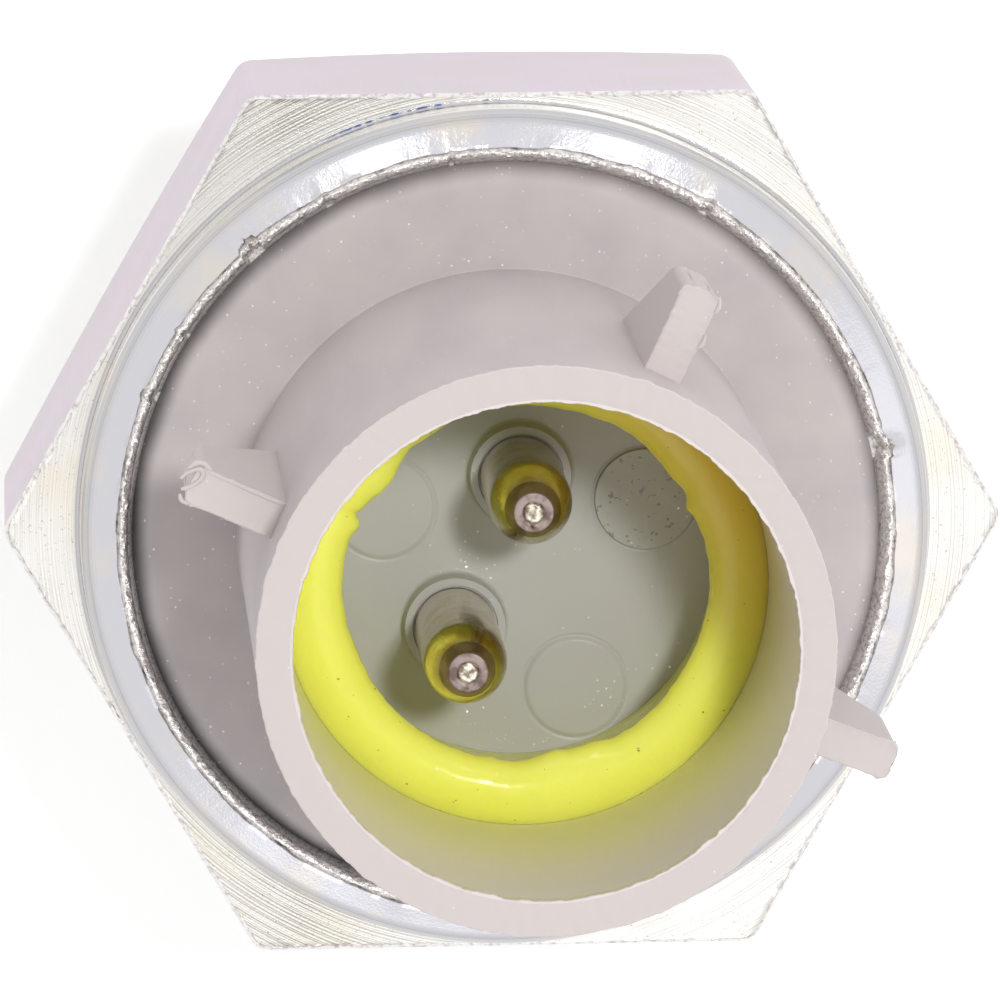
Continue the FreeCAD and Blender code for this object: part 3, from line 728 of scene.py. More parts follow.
BARREL, NOSE, PIN_END, PIP = range(4)
pin_finishes = [
    tin_plate("tin_plate_on_turned_pin", TIN_WORN, TIN_GREY, 0.14),
    # The nose's tin is drawn darker and browner as a painted reflection of the dark surroundings it
    # faces
    tin_plate("tin_plate_on_pin_nose", CONE_REFLECTED_BROWN, CONE_REFLECTED_GREY, 0.38),
    tin_plate("tin_plate_on_pin_end", TIN_DULL, TIN_PALE, 0.35, 0.35),
    tin_plate("tin_plate_on_parting_pip", PIP_GREY, PIP_BRIGHT, 0.25, 0.2),
]


def parting_dot(turn):
    """Height of the small dot of torn metal that the parting tool left beside the pip."""
    off = (math.degrees(turn) - dot_angle) / dot_half_width
    return dot_height * math.exp(-off ** 2)


def terminal_pin(mark):
    """One pin, turned about its own axis and then set in its place."""
    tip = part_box("terminal_pin_" + mark)[1].z / MM
    shoulder = tip - pin_nose
    barrel_foot = floor_level + boss_rise
    pin_rings = [
        (pin_foot, pin_foot_end, BARREL),
        (pin_foot, pin_collar_low, BARREL),
        (pin_collar, pin_collar_low, BARREL),
        (pin_collar, pin_collar_high, BARREL),
        (pin_neck, pin_collar_high, BARREL),
        (pin_neck, barrel_foot, BARREL),
    ]
    for share in (0, 0.25, 0.5, 0.75, 1):
        pin_rings.append((pin_radius, barrel_foot + (shoulder - barrel_foot) * share, BARREL))
    rise = shoulder
    across = pin_radius
    for lean in pin_shoulder_leans:
        step = (pin_radius - pin_cone) / len(pin_shoulder_leans)
        across -= step
        rise += step * math.tan(math.radians(lean))
        pin_rings.append((across, rise, BARREL))
    end = tip - pip_height

    def torn(turn, grain, amount):
        """How rough the pip is at this angle."""
        return uneven(turn, pip_radius, tip, grain, amount)

    pin_rings += [
        (pin_cone - 0.02, rise + 0.03, NOSE),
        (pin_tip + 0.03, end - 0.04, NOSE),
        (pin_tip, end - 0.01, NOSE),
        (pin_tip - 0.03, end, PIN_END),
        (pip_radius + 0.2, end, PIN_END),
        (pip_radius + 0.13, lambda turn: end + parting_dot(turn), PIN_END),
        (pip_radius + 0.06, end, PIN_END),
        (pip_radius + 0.01, end - 0.03, PIN_END),
        (lambda turn: pip_radius - 0.01 + torn(turn, 0.15, 0.03), tip - 0.04, PIP),
        (lambda turn: pip_radius - 0.05 + torn(turn, 0.15, 0.03), tip - 0.015, PIP),
        (pip_radius - 0.12, lambda turn: tip - 0.01 + torn(turn, 0.12, 0.02), PIP),
        (pip_radius - 0.2, lambda turn: tip - 0.015 + torn(turn, 0.1, 0.03), PIP),
    ]
    shell = bmesh.new()
    low_end, high_end = turned(shell, {pin_count: pin_rings})
    shell.faces.new(low_end)
    shell.faces.new(high_end).material_index = PIP
    centre = at_angle(pin_circle, pin_angles[mark])
    bmesh.ops.translate(shell, verts=shell.verts, vec=(centre.x * MM, centre.y * MM, 0))
    piece = finished("pin_" + mark, shell, pin_finishes)
    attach(piece, "root")
    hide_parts("terminal_pin_" + mark)
    return piece


pins = [terminal_pin(mark) for mark in pin_angles]

# Connector moulding
# Glass-filled grey plastic, injection moulded round the pins: the flange under the skirt, the
# round cup with three keys, and the floor with two pin bosses and three ejector marks. The mould's
# parting lines left thin flash on the rim and on the keys.
flange_radius = 12.1
flange_edge = 0.55
flange_top = 2.0
flange_middle = 9.76
flange_hollow = 9.6
flange_hollow_level = ledge_level + 1.2
groove_radius = 11.2
groove_low = -0.95
groove_high = 0.15
cup_radius = 8.32
cup_inner = 7.32
cup_fillet = 0.02
cup_count = 900
neck_hollow = 6.9
rim_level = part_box("connector_body")[1].z / MM
rim_face = rim_level - 0.03
boss_radius = 1.55
boss_fillet = 0.14
boss_gap = 1.3
boss_gap_depth = 0.09
mark_circle = 4.35
mark_radius = 1.55
mark_angles = (25.0, 157.5, -65.5)
mark_rises = (0.14, 0.04, 0.06)
mark_moat = 0.1
mark_groove = 0.02
mark_softness = (0.02, 0.1, 0.1)
edge_clear = 0.01
flash_reach = 0.09
net_step = 96
net_weld = 1e-6
join_weld = 2e-7
key_angles = (64.6, 155.7, -21.4)
key_reach = 11.1
key_half_width = 0.55
key_round = 0.3
key_root = hex_top + 8.5
key_low = hex_top + 13.8
key_top = hex_top + 17.3
key_face = key_top - 0.05
key_start = cup_radius - 0.5
key_station = 0.05
key_rows = (0.01, 0.2, 0.4, 0.6, 0.8, 0.93, 1)
key_ridge = 0.05
key_flare_length = 0.8
tear_grain = 0.16
flash_thick = 0.085
strand_sides = 8

# Radius and height of the rounded edge between the flange's side and its top
flange_curve = (
    (11.57, 1.4), (11.5, 1.57), (11.43, 1.7), (11.34, 1.81), (11.23, 1.9), (11.1, 1.965),
    (10.92, flange_top), (flange_middle, flange_top),
)
# Strands of flash on two keys: key, share of the thickness, path as reach and offset to the side
flash_strands = (
    (1, 1.0, ((11.4, -0.02), (11.26, -0.28), (11.0, -0.5), (10.84, -0.36), (10.9, -0.12),
              (11.08, 0.12), (11.26, 0.26))),
    (1, 1.1, ((10.7, -0.6), (10.95, -0.68), (11.16, -0.62), (11.3, -0.4))),
    (1, 0.9, ((11.24, 0.4), (11.12, 0.55), (10.9, 0.58))),
    (1, 0.6, ((10.8, -0.52), (10.3, -0.5), (9.7, -0.5), (9.0, -0.48), (8.35, -0.48))),
    (0, 0.8, ((11.08, -0.5), (10.85, -0.62), (10.6, -0.6))),
    (0, 0.7, ((9.9, -0.62), (9.65, -0.66), (9.45, -0.58))),
)

FLANGE_GREY = "BBB3B1"
FLANGE_DARK = "B0A9A9"
# Colour of the shade painted on the flange next to the crimped lip
FLANGE_PAINTED_SHADE = "4E4A4B"
MOULDING_GREY = "C9BFBE"
MOULDING_DARK = "BFB5B6"
MOULDING_PALE = "C6BDBB"
FLASH_PALE = "D6CDCB"
INSIDE_GREY = "DCD3CF"
INSIDE_SEAL_GLOW = "D9D4AE"
CORE_GREY = "B8B7B4"
CORE_SMUDGE = "62605A"
GLASS_FIBRE = "F2F0EE"

OUTSIDE, TORN, INSIDE, FLOOR, EJECTOR, FLANGE, RIM_FLASH = range(7)


def flash(turn, seed):
    """How far the thin flash stands out at this angle: mostly a little, and more in places."""
    ragged = noise.noise(Vector((math.cos(turn), math.sin(turn), seed)) * 16)
    fine = noise.noise(Vector((math.cos(turn), math.sin(turn), seed + 3)) * 50)
    return flash_reach * (0.35 + 0.8 * max(ragged, 0) + 0.3 * fine)


def rim_ring(radius, seed, grain):
    """A ring of the rim's face, which is slightly rough."""
    return radius, lambda turn: rim_face + uneven(turn, cup_radius, seed, grain, 0.03), TORN


bosses = [at_angle(pin_circle, angle) for angle in pin_angles.values()]
marks = [at_angle(mark_circle, angle) for angle in mark_angles]


def floor_height(point):
    """Height of the cup's floor over its plain level, at this point."""
    for centre in bosses:
        off = (point - centre).length
        if off < boss_gap - edge_clear:
            return boss_rise - boss_gap_depth
        if off < boss_radius - edge_clear:
            return boss_rise
        if off < boss_radius + boss_fillet:
            depth = boss_radius + boss_fillet - off
            return boss_fillet - math.sqrt(max(boss_fillet ** 2 - depth ** 2, 0))
    for centre, rise, softness in zip(marks, mark_rises, mark_softness):
        off = (point - centre).length - mark_radius
        if off < 0:
            return rise * min(-off / softness, 1)
        if off < mark_moat:
            return -mark_groove * math.sin(math.pi * off / mark_moat)
    return 0.0


plastic = bmesh.new()
moulding_rings = [
    (neck_hollow, floor_under, INSIDE),
    (neck_hollow, flange_hollow_level, INSIDE),
    (flange_hollow, flange_hollow_level, INSIDE),
    (flange_hollow, ledge_level, INSIDE),
    (flange_radius, ledge_level, INSIDE),
    (flange_radius, hex_top + groove_low, INSIDE),
    (groove_radius, hex_top + groove_low, INSIDE),
    (groove_radius, hex_top + groove_high, INSIDE),
    (flange_radius, hex_top + groove_high, INSIDE),
    (flange_radius, hex_top + flange_edge, OUTSIDE),
]
moulding_rings += [(radius, hex_top + level, FLANGE) for radius, level in flange_curve]
for angle in range(0, 91, 15):
    moulding_rings.append((
        cup_radius + cup_fillet * (1 - math.sin(math.radians(angle))),
        hex_top + flange_top + cup_fillet * (1 - math.cos(math.radians(angle))),
        OUTSIDE if angle else FLANGE,
    ))
moulding_rings += [(cup_radius, hex_top + rise, OUTSIDE) for rise in (6, 10, 14)]
moulding_rings += [(cup_radius, rim_level - drop, OUTSIDE) for drop in (0.5, 0.12)]
moulding_rings += [
    (lambda turn: cup_radius + flash(turn, 1), rim_level - 0.07, RIM_FLASH),
    (lambda turn: cup_radius + flash(turn, 1) - 0.03, rim_face, RIM_FLASH),
    rim_ring(cup_radius - 0.12, 0, 0.3),
    rim_ring(cup_radius - 0.35, 2, 0.4),
    rim_ring(cup_radius - 0.65, 4, 0.4),
    rim_ring(cup_inner + 0.12, 6, 0.3),
    (cup_inner + 0.05, rim_level - 0.045, TORN),
    (lambda turn: cup_inner - flash(turn, 5) + 0.02, rim_level - 0.02, RIM_FLASH),
    (lambda turn: cup_inner - flash(turn, 5), rim_level - 0.07, RIM_FLASH),
]
moulding_rings += [(cup_inner, rim_level - drop, INSIDE) for drop in (0.16, 0.6, 4, 8)]
moulding_rings.append((cup_inner, floor_level, INSIDE))
under_ring, floor_ring = turned(plastic, {cup_count: moulding_rings})
plastic.faces.new(under_ring).material_index = INSIDE

# The floor is one net of triangles through rings of points round each boss and mark
net_points = [Vector((vert.co.x, vert.co.y)) / MM for vert in floor_ring]
outline_loop = list(range(len(net_points)))
net_edges = []
boss_rings = [boss_gap - 0.02, boss_gap, boss_radius - 0.03]
boss_rings += [boss_radius + boss_fillet * share for share in (0, 0.1, 0.3, 0.6, 1)]
mark_rings = [mark_radius - inset for inset in (0.15, 0.1, 0.05, 0.02, 0)]
mark_rings += [mark_radius + mark_moat * share for share in (0.3, 0.7, 1, 1.5)]
for centres, radii in ((bosses, boss_rings), (marks, mark_rings)):
    for centre in centres:
        for radius in radii:
            first = len(net_points)
            for step in range(net_step):
                net_points.append(centre + at_angle(radius, 360 * step / net_step))
                net_edges.append((first + step, first + (step + 1) % net_step))
net_points, _, net_faces, *_ = geometry.delaunay_2d_cdt(
    net_points, net_edges, [outline_loop], 1, 1e-5)
net_verts = []
for point in net_points:
    height = floor_level + floor_height(Vector(point))
    net_verts.append(plastic.verts.new((point[0] * MM, point[1] * MM, height * MM)))
for corners in net_faces:
    middle = sum((Vector(net_points[corner]) for corner in corners), Vector((0, 0))) / len(corners)
    smudged = (middle - marks[0]).length < mark_radius
    face = plastic.faces.new([net_verts[corner] for corner in corners])
    face.material_index = EJECTOR if smudged else FLOOR
bmesh.ops.remove_doubles(plastic, verts=floor_ring + net_verts, dist=net_weld)
bmesh.ops.recalc_face_normals(plastic, faces=plastic.faces)


def key_outline(reach, seed):
    """Points round a key at this distance from the axis, as offset to the side and height.

    Its underside slopes up and its end is rounded. A torn ridge along its top flares at the end.
    """
    past = max(reach - (key_reach - key_round), 0)
    half = key_half_width - key_round + math.sqrt(max(key_round ** 2 - past ** 2, 0))
    low = key_root + (key_low - key_root) * max((reach - cup_radius) / (key_reach - cup_radius), 0)
    flare = key_ridge * (1 + 2.2 * max(1 - (key_reach - reach) / key_flare_length, 0))
    sides = []
    for side_seed in (seed, seed + 5):
        tear = noise.noise(Vector((reach / tear_grain, side_seed, 0)))
        side = [(half, low + (key_top - 0.1 - low) * share) for share in key_rows]
        side += [
            (half + flare * (0.35 + 0.8 * max(tear, 0)), key_face),
            (half - 0.02, key_top - 0.02 + 0.03 * tear),
            (half * 0.8, key_face + 0.02 * tear),
            (half * 0.3, key_face),
        ]
        sides.append(side)
    underside = [(half * share, low) for share in (-0.9, -0.3, 0.3, 0.9)]
    return underside + sides[0] + [(-across, height) for across, height in reversed(sides[1])]


def closed_shell(shell, loops, start_finish):
    """Close a run of loops into a solid of torn plastic; its start has a finish of its own."""
    for nearer, further in zip(loops, loops[1:]):
        span(shell, further, nearer, TORN)
    shell.faces.new(loops[0]).material_index = start_finish
    shell.faces.new(loops[-1]).material_index = TORN
    bmesh.ops.recalc_face_normals(shell, faces=shell.faces)
    return shell


def key_shell(angle):
    """Closed mesh of one key, with a ragged ridge along its top edges and a rough end."""
    shell = bmesh.new()
    outward = at_angle(1, angle)
    aside = at_angle(1, angle + 90)
    stations = math.ceil((key_reach - key_start) / key_station)
    loops = []
    for station in range(stations + 1):
        reach = key_start + (key_reach - key_start) * station / stations
        loop = []
        for across, height in key_outline(reach, angle):
            rough = 0.0
            if station == stations:
                rough = noise.noise(Vector((across / 0.15, height / 0.15, angle))) * 0.08 - 0.02
            spot = outward * (reach + min(rough, 0)) + aside * across
            loop.append(shell.verts.new((spot.x * MM, spot.y * MM, height * MM)))
        loops.append(loop)
    return closed_shell(shell, loops, OUTSIDE)


def flash_strand(angle, path, thick):
    """Closed strand of flash on top of a key, along a smooth curve through the path's points."""
    shell = bmesh.new()
    outward = at_angle(1, angle)
    aside = at_angle(1, angle + 90)
    spots = [Vector(path[0]), *(Vector(spot) for spot in path), Vector(path[-1])]
    stations = []
    for before, start, end, after in zip(spots, spots[1:], spots[2:], spots[3:]):
        for share in (0, 0.25, 0.5, 0.75):
            left = 1 - share
            lift = ((end - before) * 0.5 * share * left ** 2
                    - (after - start) * 0.5 * share ** 2 * left)
            stations.append(start.lerp(end, share * share * (3 - 2 * share)) + lift)
    stations.append(spots[-1])
    loops = []
    for number, spot in enumerate(stations):
        before = stations[max(number - 1, 0)]
        after = stations[min(number + 1, len(stations) - 1)]
        along = (after - before).normalized()
        across = Vector((-along.y, along.x))
        taper = math.sin(math.pi * (0.12 + 0.76 * number / (len(stations) - 1)))
        width = thick * (0.6 * taper + 0.4 + 0.25 * noise.noise(Vector((number * 0.4, angle, 1))))
        loop = []
        for step in range(strand_sides):
            turn = FULL_TURN * step / strand_sides
            local = spot + across * width * math.cos(turn)
            flat = outward * local.x + aside * local.y
            height = key_top - 0.04 + width * math.sin(turn)
            loop.append(shell.verts.new((flat.x * MM, flat.y * MM, height * MM)))
        loops.append(loop)
    return closed_shell(shell, loops, TORN)


def glass_filled_nylon(name, plain, cloud_tone, roughness, sparkle, specks=0.0, scuffs=(),
                       painted_shade=0.0, painted_seal_glow=None):
    """Moulded plastic with short glass fibres: satin, faintly clouded, with glinting fibre ends.

    The sparkle and the specks are shares of the surface. A scuff is a place with a radius in
    millimetres where more fibres show. The painted shade is the strength of a shade painted next to
    the crimped lip, and the painted seal glow is a yellow tone painted low on the wall for light
    reflected from the seal.
    """
    material = new_material(name)
    place = add(material, "TexCoord", output="Object")
    calm = add(material, "VectorMath", {0: place, 1: (1, 1, 0.2)}, operation="MULTIPLY")
    cloud = add(material, "TexNoise", {"Vector": calm, "Scale": per(2.2), "Detail": 4.0})
    tone = stain_or_painted_light(material, plain, cloud_tone, cloud, (0.35, 0.7), (0.0, 1.0))
    # Painted shade: dark next to the crimped lip, strongest on the side away from the key lamp
    if painted_shade:
        out = distance_out(material, place)
        shade_distance = add(material, "Math", {0: cloud, 1: 0.3 * MM, 2: out}, operation="MULTIPLY_ADD")
        most_shade = toward(material, place, (-0.9, -0.44), (-8, 10), (painted_shade * 0.35, painted_shade))
        tone = stain_or_painted_light(material, tone, FLANGE_PAINTED_SHADE, shade_distance, (11.15 * MM, 11.7 * MM), (0.0, most_shade),
                       interpolation_type="SMOOTHSTEP")
    # Painted light: a yellow tone low on the wall, fading upward, stands in for light reflected
    # from the seal
    if painted_seal_glow:
        upright = add(material, "SeparateXYZ", {0: place}, output="Z")
        glow_reach = ((floor_level + 4.2) * MM, (floor_level + 10) * MM)
        tone = stain_or_painted_light(material, tone, painted_seal_glow, upright, glow_reach, (1.0, 0.0))
    scuffed = 0.0
    for x, y, radius in scuffs:
        away = add(material, "VectorMath", {0: place, 1: (x * MM, y * MM, floor_level * MM)},
                   operation="DISTANCE")
        scuff = add(material, "MapRange", {0: away, 1: 0.0, 2: radius * MM, 3: 1.0, 4: 0.0},
                    interpolation_type="SMOOTHSTEP")
        scuffed = add(material, "Math", {0: scuff, 1: scuffed}, operation="MAXIMUM")

    # The fibre ends are cells of a fine pattern: a share of them show, some more strongly
    share = add(material, "Math", {0: scuffed, 1: 0.5, 2: sparkle}, operation="MULTIPLY_ADD")
    cell_value = add(material, "TexVoronoi", {"Vector": place, "Scale": per(0.13)}, output="Color",
                     feature="F1")
    from_middle = cell_value.node.outputs["Distance"]
    lottery = add(material, "SeparateColor", {0: cell_value})
    picked = add(material, "Math", {0: lottery, 1: share}, operation="LESS_THAN")
    near = add(material, "MapRange", {0: from_middle, 1: 0.1, 2: 0.36, 3: 1.0, 4: 0.0})
    strong = add(material, "MapRange",
                 {0: lottery.node.outputs[1], 1: 0.0, 2: 1.0, 3: 0.3, 4: 1.0})
    seen_fibre = add(material, "Math", {0: picked, 1: near}, operation="MULTIPLY")
    fibre = add(material, "Math", {0: seen_fibre, 1: strong}, operation="MULTIPLY")
    tone = add(material, "Mix", {0: fibre, 6: tone, 7: GLASS_FIBRE}, data_type="RGBA")
    if specks:
        dirt = add(material, "TexNoise", {"Vector": place, "Scale": per(0.17), "Detail": 4.0})
        tone = stain_or_painted_light(material, tone, CORE_SMUDGE, dirt, (0.9 - specks, 0.95 - specks), (0.0, 0.6))

    # Each end is tilted its own way, and those in a scuff were also torn over to one side
    scatter = add(material, "VectorMath", {0: cell_value, 1: (-0.5, -0.5, -0.5)})
    torn_up = add(material, "VectorMath", {0: (0.1, 0.4, 0), "Scale": scuffed}, operation="SCALE")
    lean = add(material, "VectorMath", {0: scatter, 1: torn_up})
    fibre_lean = add(material, "Math", {0: seen_fibre, 1: 0.6}, operation="MULTIPLY")
    tilt = add(material, "VectorMath", {0: lean, "Scale": fibre_lean}, operation="SCALE")
    level = add(material, "NewGeometry", output="Normal")
    tilted = add(material, "VectorMath", {0: level, 1: tilt})
    facing = add(material, "VectorMath", {0: tilted}, operation="NORMALIZE")
    skin = add(material, "TexNoise", {"Vector": place, "Scale": per(0.12), "Detail": 3.0})
    bumps = add(material, "Bump",
                {"Height": skin, "Strength": 0.3, "Distance": 0.004 * MM, "Normal": facing})
    surfaced(material, {"Base Color": tone, "Metallic": fibre, "Roughness": roughness, "IOR": 1.53,
                        "Normal": bumps})
    return material


# Scuffs on the cup's floor, as x, y and radius
floor_scuffs = (
    (-2.3, -0.5, 0.6), (-1.5, -0.25, 0.7), (-0.8, -0.35, 0.5), (-1.4, 0.8, 0.6), (-1.3, -4.7, 1.0),
    (-0.4, -5.3, 1.0), (0.8, -5.5, 0.8), (2.7, -4.5, 0.9), (3.4, -3.4, 0.7),
)
nylon_finishes = [
    glass_filled_nylon("glass_filled_nylon_outside", MOULDING_GREY, MOULDING_DARK, 0.5, 0.015),
    glass_filled_nylon("glass_filled_nylon_flash", MOULDING_PALE, MOULDING_PALE, 0.5, 0.01),
    glass_filled_nylon("glass_filled_nylon_inside", INSIDE_GREY, INSIDE_GREY, 0.27, 0.0,
                       painted_seal_glow=INSIDE_SEAL_GLOW),
    glass_filled_nylon("glass_filled_nylon_cup_floor", CORE_GREY, CORE_GREY, 0.3, 0.02,
                       scuffs=floor_scuffs),
    glass_filled_nylon("glass_filled_nylon_ejector_face", CORE_GREY, CORE_GREY, 0.35, 0.02, 0.29),
    glass_filled_nylon("glass_filled_nylon_flange", FLANGE_GREY, FLANGE_DARK, 0.5, 0.06, painted_shade=0.9),
    # Painted light: the flash is drawn paler than the rim to stand in for light through its thin
    # edge
    glass_filled_nylon("glass_filled_nylon_rim_flash", FLASH_PALE, FLASH_PALE, 0.45, 0.0),
]

# The keys and their flash are joined to the moulding, and the pins' room is cut from it
connector = placed("connector_moulding", plastic, nylon_finishes)
keys = [placed("key", key_shell(angle), nylon_finishes) for angle in key_angles]
for key, share, path in flash_strands:
    strand = flash_strand(key_angles[key], path, flash_thick * share)
    keys.append(placed("flash", strand, nylon_finishes))
for tool, operation in [(key, "UNION") for key in keys] + [(pin, "DIFFERENCE") for pin in pins]:
    joint = connector.modifiers.new("join_or_cut", "BOOLEAN")
    joint.solver = "EXACT"
    joint.operation = operation
    joint.object = tool
bpy.context.view_layer.update()
depsgraph = bpy.context.evaluated_depsgraph_get()
joined = bpy.data.meshes.new_from_object(connector.evaluated_get(depsgraph))
connector.modifiers.clear()
connector.data = joined
for key in keys:
    bpy.data.objects.remove(key)
cleaned = bmesh.new()
cleaned.from_mesh(joined)
bmesh.ops.remove_doubles(cleaned, verts=cleaned.verts, dist=join_weld)
open_edges = [edge for edge in cleaned.edges if edge.is_boundary]
bmesh.ops.holes_fill(cleaned, edges=open_edges, sides=4)
cleaned.to_mesh(joined)
cleaned.free()
smoothed(joined)
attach(connector, "root")
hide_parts("connector_body")

# Plug seal
# A soft ring of yellow silicone rubber, moulded and pressed into the bottom of the cup. Its foot is
# undercut, and the knife trimmed its inner lip unevenly.
seal_count = 720
seal_bore = 5.42
seal_foot = 6.0
seal_rise = 4.4
seal_crown = 6.4
seal_dish = 0.42
seal_drop = 0.3
seal_round = 0.02
seal_edge = 0.12
seal_clear = 0.004
seal_outside = cup_inner - seal_clear
seal_top = floor_level + seal_rise
lip_top = seal_top - seal_dish

# Each lobe of the inner lip has an angle, a half width in degrees and a reach
seal_lobes = (
    (0, 28, 0.16), (24, 3, -0.1), (30, 3, 0.1), (54, 14, 0.1), (121, 8, -0.09), (142, 11, -0.36),
    (156, 1.6, 0.12), (160, 4, -0.16), (203, 9, -0.05), (259, 3, -0.05), (280, 9, -0.24),
    (292, 6, -0.14), (315, 20, 0.06),
)
# The undercut bore: share of the way out from the lip to the foot, and height over the floor
seal_bore_steps = (
    (1.0, 0.8), (0.9, 1.6), (0.7, 2.4), (0.4, 3.1), (0.15, 3.6),
    (0.0, seal_rise - seal_dish - seal_edge),
)

SILICONE_YELLOW = "F5F771"
SILICONE_DEEP = "EFF15C"
SILICONE_SHADE_AMBER = "F0C047"
SEAL_SPECK = "57501A"


def seal_lip(turn):
    """Radius of the trimmed inner lip at this angle."""
    radius = seal_bore + uneven(turn, seal_bore, 0, 0.35, 0.03)
    for angle, half_width, reach in seal_lobes:
        off = (math.degrees(turn) - angle + 180) % 360 - 180
        radius += reach * math.exp(-(off / half_width) ** 2 * 1.4)
    return radius


def from_lip(outer, share):
    """Radius at this share of the way from the lip out to another radius, for each angle."""
    return lambda turn: seal_lip(turn) + (outer - seal_lip(turn)) * share


def lip_round(angle):
    """Radius of the rounded edge of the lip at this lean of its surface, for each angle."""
    return lambda turn: seal_lip(turn) + seal_edge * (1 - math.cos(math.radians(angle)))


seal_rings = [(seal_foot, floor_level, 0)]
for share, level in seal_bore_steps:
    seal_rings.append((from_lip(seal_foot - 0.04, share), floor_level + level, 0))
for angle in (30, 60):
    level = lip_top - seal_edge * (1 - math.sin(math.radians(angle)))
    seal_rings.append((lip_round(angle), level, 0))
for tenth in range(1, 11):
    share = tenth / 10
    level = lip_top + seal_dish * (1 - (1 - share) ** 2)
    seal_rings.append((from_lip(seal_crown, share), level, 0))
for share in (0.25, 0.5, 0.75):
    radius = seal_crown + (seal_outside - seal_round - seal_crown) * share
    seal_rings.append((radius, seal_top - seal_drop * share ** 2, 0))
for angle in range(90, -1, -15):
    seal_rings.append((
        seal_outside - seal_round * (1 - math.cos(math.radians(angle))),
        seal_top - seal_drop - seal_round * (1 - math.sin(math.radians(angle))),
        0,
    ))
seal_rings.append((seal_outside, floor_level, 0))
seal = bmesh.new()
inner_foot, outer_foot = turned(seal, {seal_count: seal_rings})
span(seal, outer_foot, inner_foot, 0)

# Silicone rubber: soft sheen over a deep colour that lets a little light in, with dirt specks, and
# an amber shade painted on the side that the cup's wall shades
amber_shaded_side = (0.82, 0.57)

silicone = new_material("yellow_silicone_rubber")
place = add(silicone, "TexCoord", output="Object")
cloud = add(silicone, "TexNoise", {"Vector": place, "Scale": per(3.5), "Detail": 3.0})
tone = add(silicone, "Mix", {0: cloud, 6: SILICONE_YELLOW, 7: SILICONE_DEEP}, data_type="RGBA")
# Painted shade: the seal turns amber toward the side that the cup's wall shades
amber_shade_share = toward(silicone, place, amber_shaded_side, (3.0, 6.8), (0.0, 0.75))
amber_shaded_tone = add(silicone, "Mix", {0: amber_shade_share, 6: tone, 7: SILICONE_SHADE_AMBER}, data_type="RGBA")
dirt = add(silicone, "TexNoise", {"Vector": place, "Scale": per(0.25), "Detail": 3.0})
specked = stain_or_painted_light(silicone, amber_shaded_tone, SEAL_SPECK, dirt, (0.71, 0.74), (0.0, 0.8))
skin = add(silicone, "TexNoise", {"Vector": place, "Scale": per(0.4), "Detail": 3.0})
dull = add(silicone, "MapRange", {0: skin, 1: 0.3, 2: 0.7, 3: 0.12, 4: 0.26})
surfaced(silicone, {
    "Base Color": specked, "Roughness": dull, "IOR": 1.45, "Subsurface Weight": 0.6,
    "Subsurface Radius": (1.0, 1.0, 0.25), "Subsurface Scale": 1.2 * MM,
}, skin, 0.5, 0.025)
yellow_seal = finished("yellow_seal", seal, [silicone])
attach(yellow_seal, "root")
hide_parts("plug_seal")

# Floor, lamps and camera
# A pale table under the stud, a small key lamp high over the right shoulder, two small softboxes
# behind the sensor, large ones on its right and in front, and an overhead panel. The camera stands
# almost over the cup.
FLOOR_WHITE = "F2F2F2"
ROOM_WHITE = "FFFFFF"
floor_half = 1.5
floor_glow = 0.4
white_level = 1.0
glossy_level = 0.93
zenith_level = 0.82
room_level = 0.62

floor_shell = bmesh.new()
for corner in ((-1, -1), (1, -1), (1, 1), (-1, 1)):
    floor_shell.verts.new((corner[0] * floor_half, corner[1] * floor_half, stud_tip * MM))
floor_shell.faces.new(floor_shell.verts)
paper = new_material("white_paper_floor")
camera_ray = add(paper, "LightPath", output="Is Camera Ray")
seen = add(paper, "Math", {0: camera_ray, 1: floor_glow}, operation="MULTIPLY")
fibres = add(paper, "TexNoise", {"Scale": per(0.5), "Detail": 3.0})
surfaced(paper, {
    "Base Color": FLOOR_WHITE, "Roughness": 0.9,
    "Emission Color": FLOOR_WHITE, "Emission Strength": seen,
}, fibres, 0.2, 0.02)
paper_floor = finished("paper_floor", floor_shell, [paper])

# The camera sees a white room. Reflections show it a little darker, most of all overhead, and the
# light that it gives the sensor is darker still.
world = bpy.data.worlds.new("white_room")
bpy.context.scene.world = world
world.use_nodes = True
world.node_tree.nodes.clear()
camera_ray = add(world, "LightPath", output="Is Camera Ray")
glossy_ray = camera_ray.node.outputs["Is Glossy Ray"]
direction = add(world, "TexCoord", output="Generated")
upward = add(world, "SeparateXYZ", {0: direction}, output="Z")
sky_level = add(world, "MapRange",
                {0: upward, 1: 0.75, 2: 0.99, 3: glossy_level, 4: zenith_level})
reflected = add(world, "Mix", {0: glossy_ray, 2: room_level, 3: sky_level}, data_type="FLOAT")
level = add(world, "Mix", {0: camera_ray, 2: reflected, 3: white_level}, data_type="FLOAT")
add(world, "OutputWorld", {0: add(world, "Background", {"Color": ROOM_WHITE, "Strength": level})})

lamp_target = Vector((0, 0, hex_top * MM))


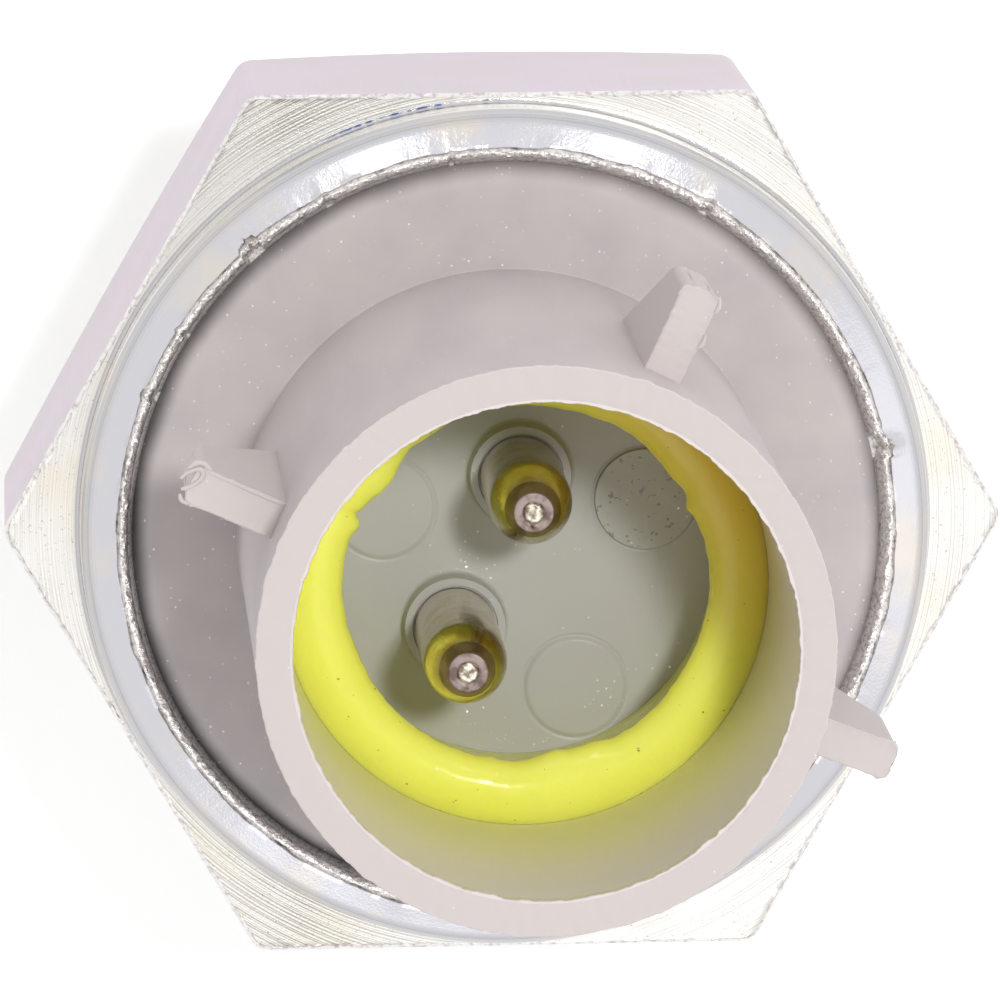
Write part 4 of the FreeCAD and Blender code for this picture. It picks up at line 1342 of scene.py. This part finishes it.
def softbox(name, azimuth, elevation, distance, size, power):
    """A square area lamp that faces the sensor, with angles in degrees and lengths in metres."""
    light = bpy.data.lights.new(name, "AREA")
    light.shape = "SQUARE"
    light.size = size
    light.energy = power
    lamp = bpy.data.objects.new(name, light)
    bpy.context.scene.collection.objects.link(lamp)
    flat = at_angle(math.cos(math.radians(elevation)), azimuth)
    outward = Vector((flat.x, flat.y, math.sin(math.radians(elevation))))
    facing = outward.to_track_quat("Z", "Y").to_matrix().to_4x4()
    lamp.matrix_world = Matrix.Translation(lamp_target + outward * distance) @ facing
    lamp.visible_camera = False
    return lamp


softbox("key_over_right_shoulder", 60, 72, 0.45, 0.05, 0.82).visible_glossy = False
softbox("key_tube", 60, 72, 0.44, 0.03, 0.17)
softbox("softbox_back_right", 64, 49, 0.45, 0.045, 0.032)
softbox("softbox_back_left", 109, 51, 0.45, 0.045, 0.032)
softbox("softbox_right", -10, 45, 0.45, 0.3, 0.08)
softbox("softbox_front", -100, 50, 0.45, 0.3, 0.14)
softbox("panel_overhead", -53, 62, 0.5, 0.25, 0.15)

camera_distance = 253.0
focal_pixels = 32.153 * camera_distance
picture_width = 1000
sensor_width = 36
aim_offset = (0.114, -0.730)
lean_azimuth = -71.32
tilt = math.radians(11.0)
roll = math.radians(0.57)
lean = at_angle(1, lean_azimuth).to_3d()
tilt_axis = Vector((0, 0, 1)).cross(lean)
to_camera = Matrix.Rotation(tilt, 3, tilt_axis) @ Matrix.Rotation(roll, 3, "Z")
camera_data = bpy.data.cameras.new("camera")
camera_data.sensor_width = sensor_width
camera_data.lens = sensor_width * focal_pixels / picture_width
camera_data.clip_start = 0.01
camera = bpy.data.objects.new("camera", camera_data)
bpy.context.scene.collection.objects.link(camera)
station = to_camera.transposed() @ Vector((-aim_offset[0], -aim_offset[1], camera_distance))
station += Vector((0, 0, hex_top))
camera.matrix_world = Matrix.Translation(station * MM) @ to_camera.transposed().to_4x4()
bpy.context.scene.camera = camera
bpy.context.scene.view_settings.view_transform = "Standard"
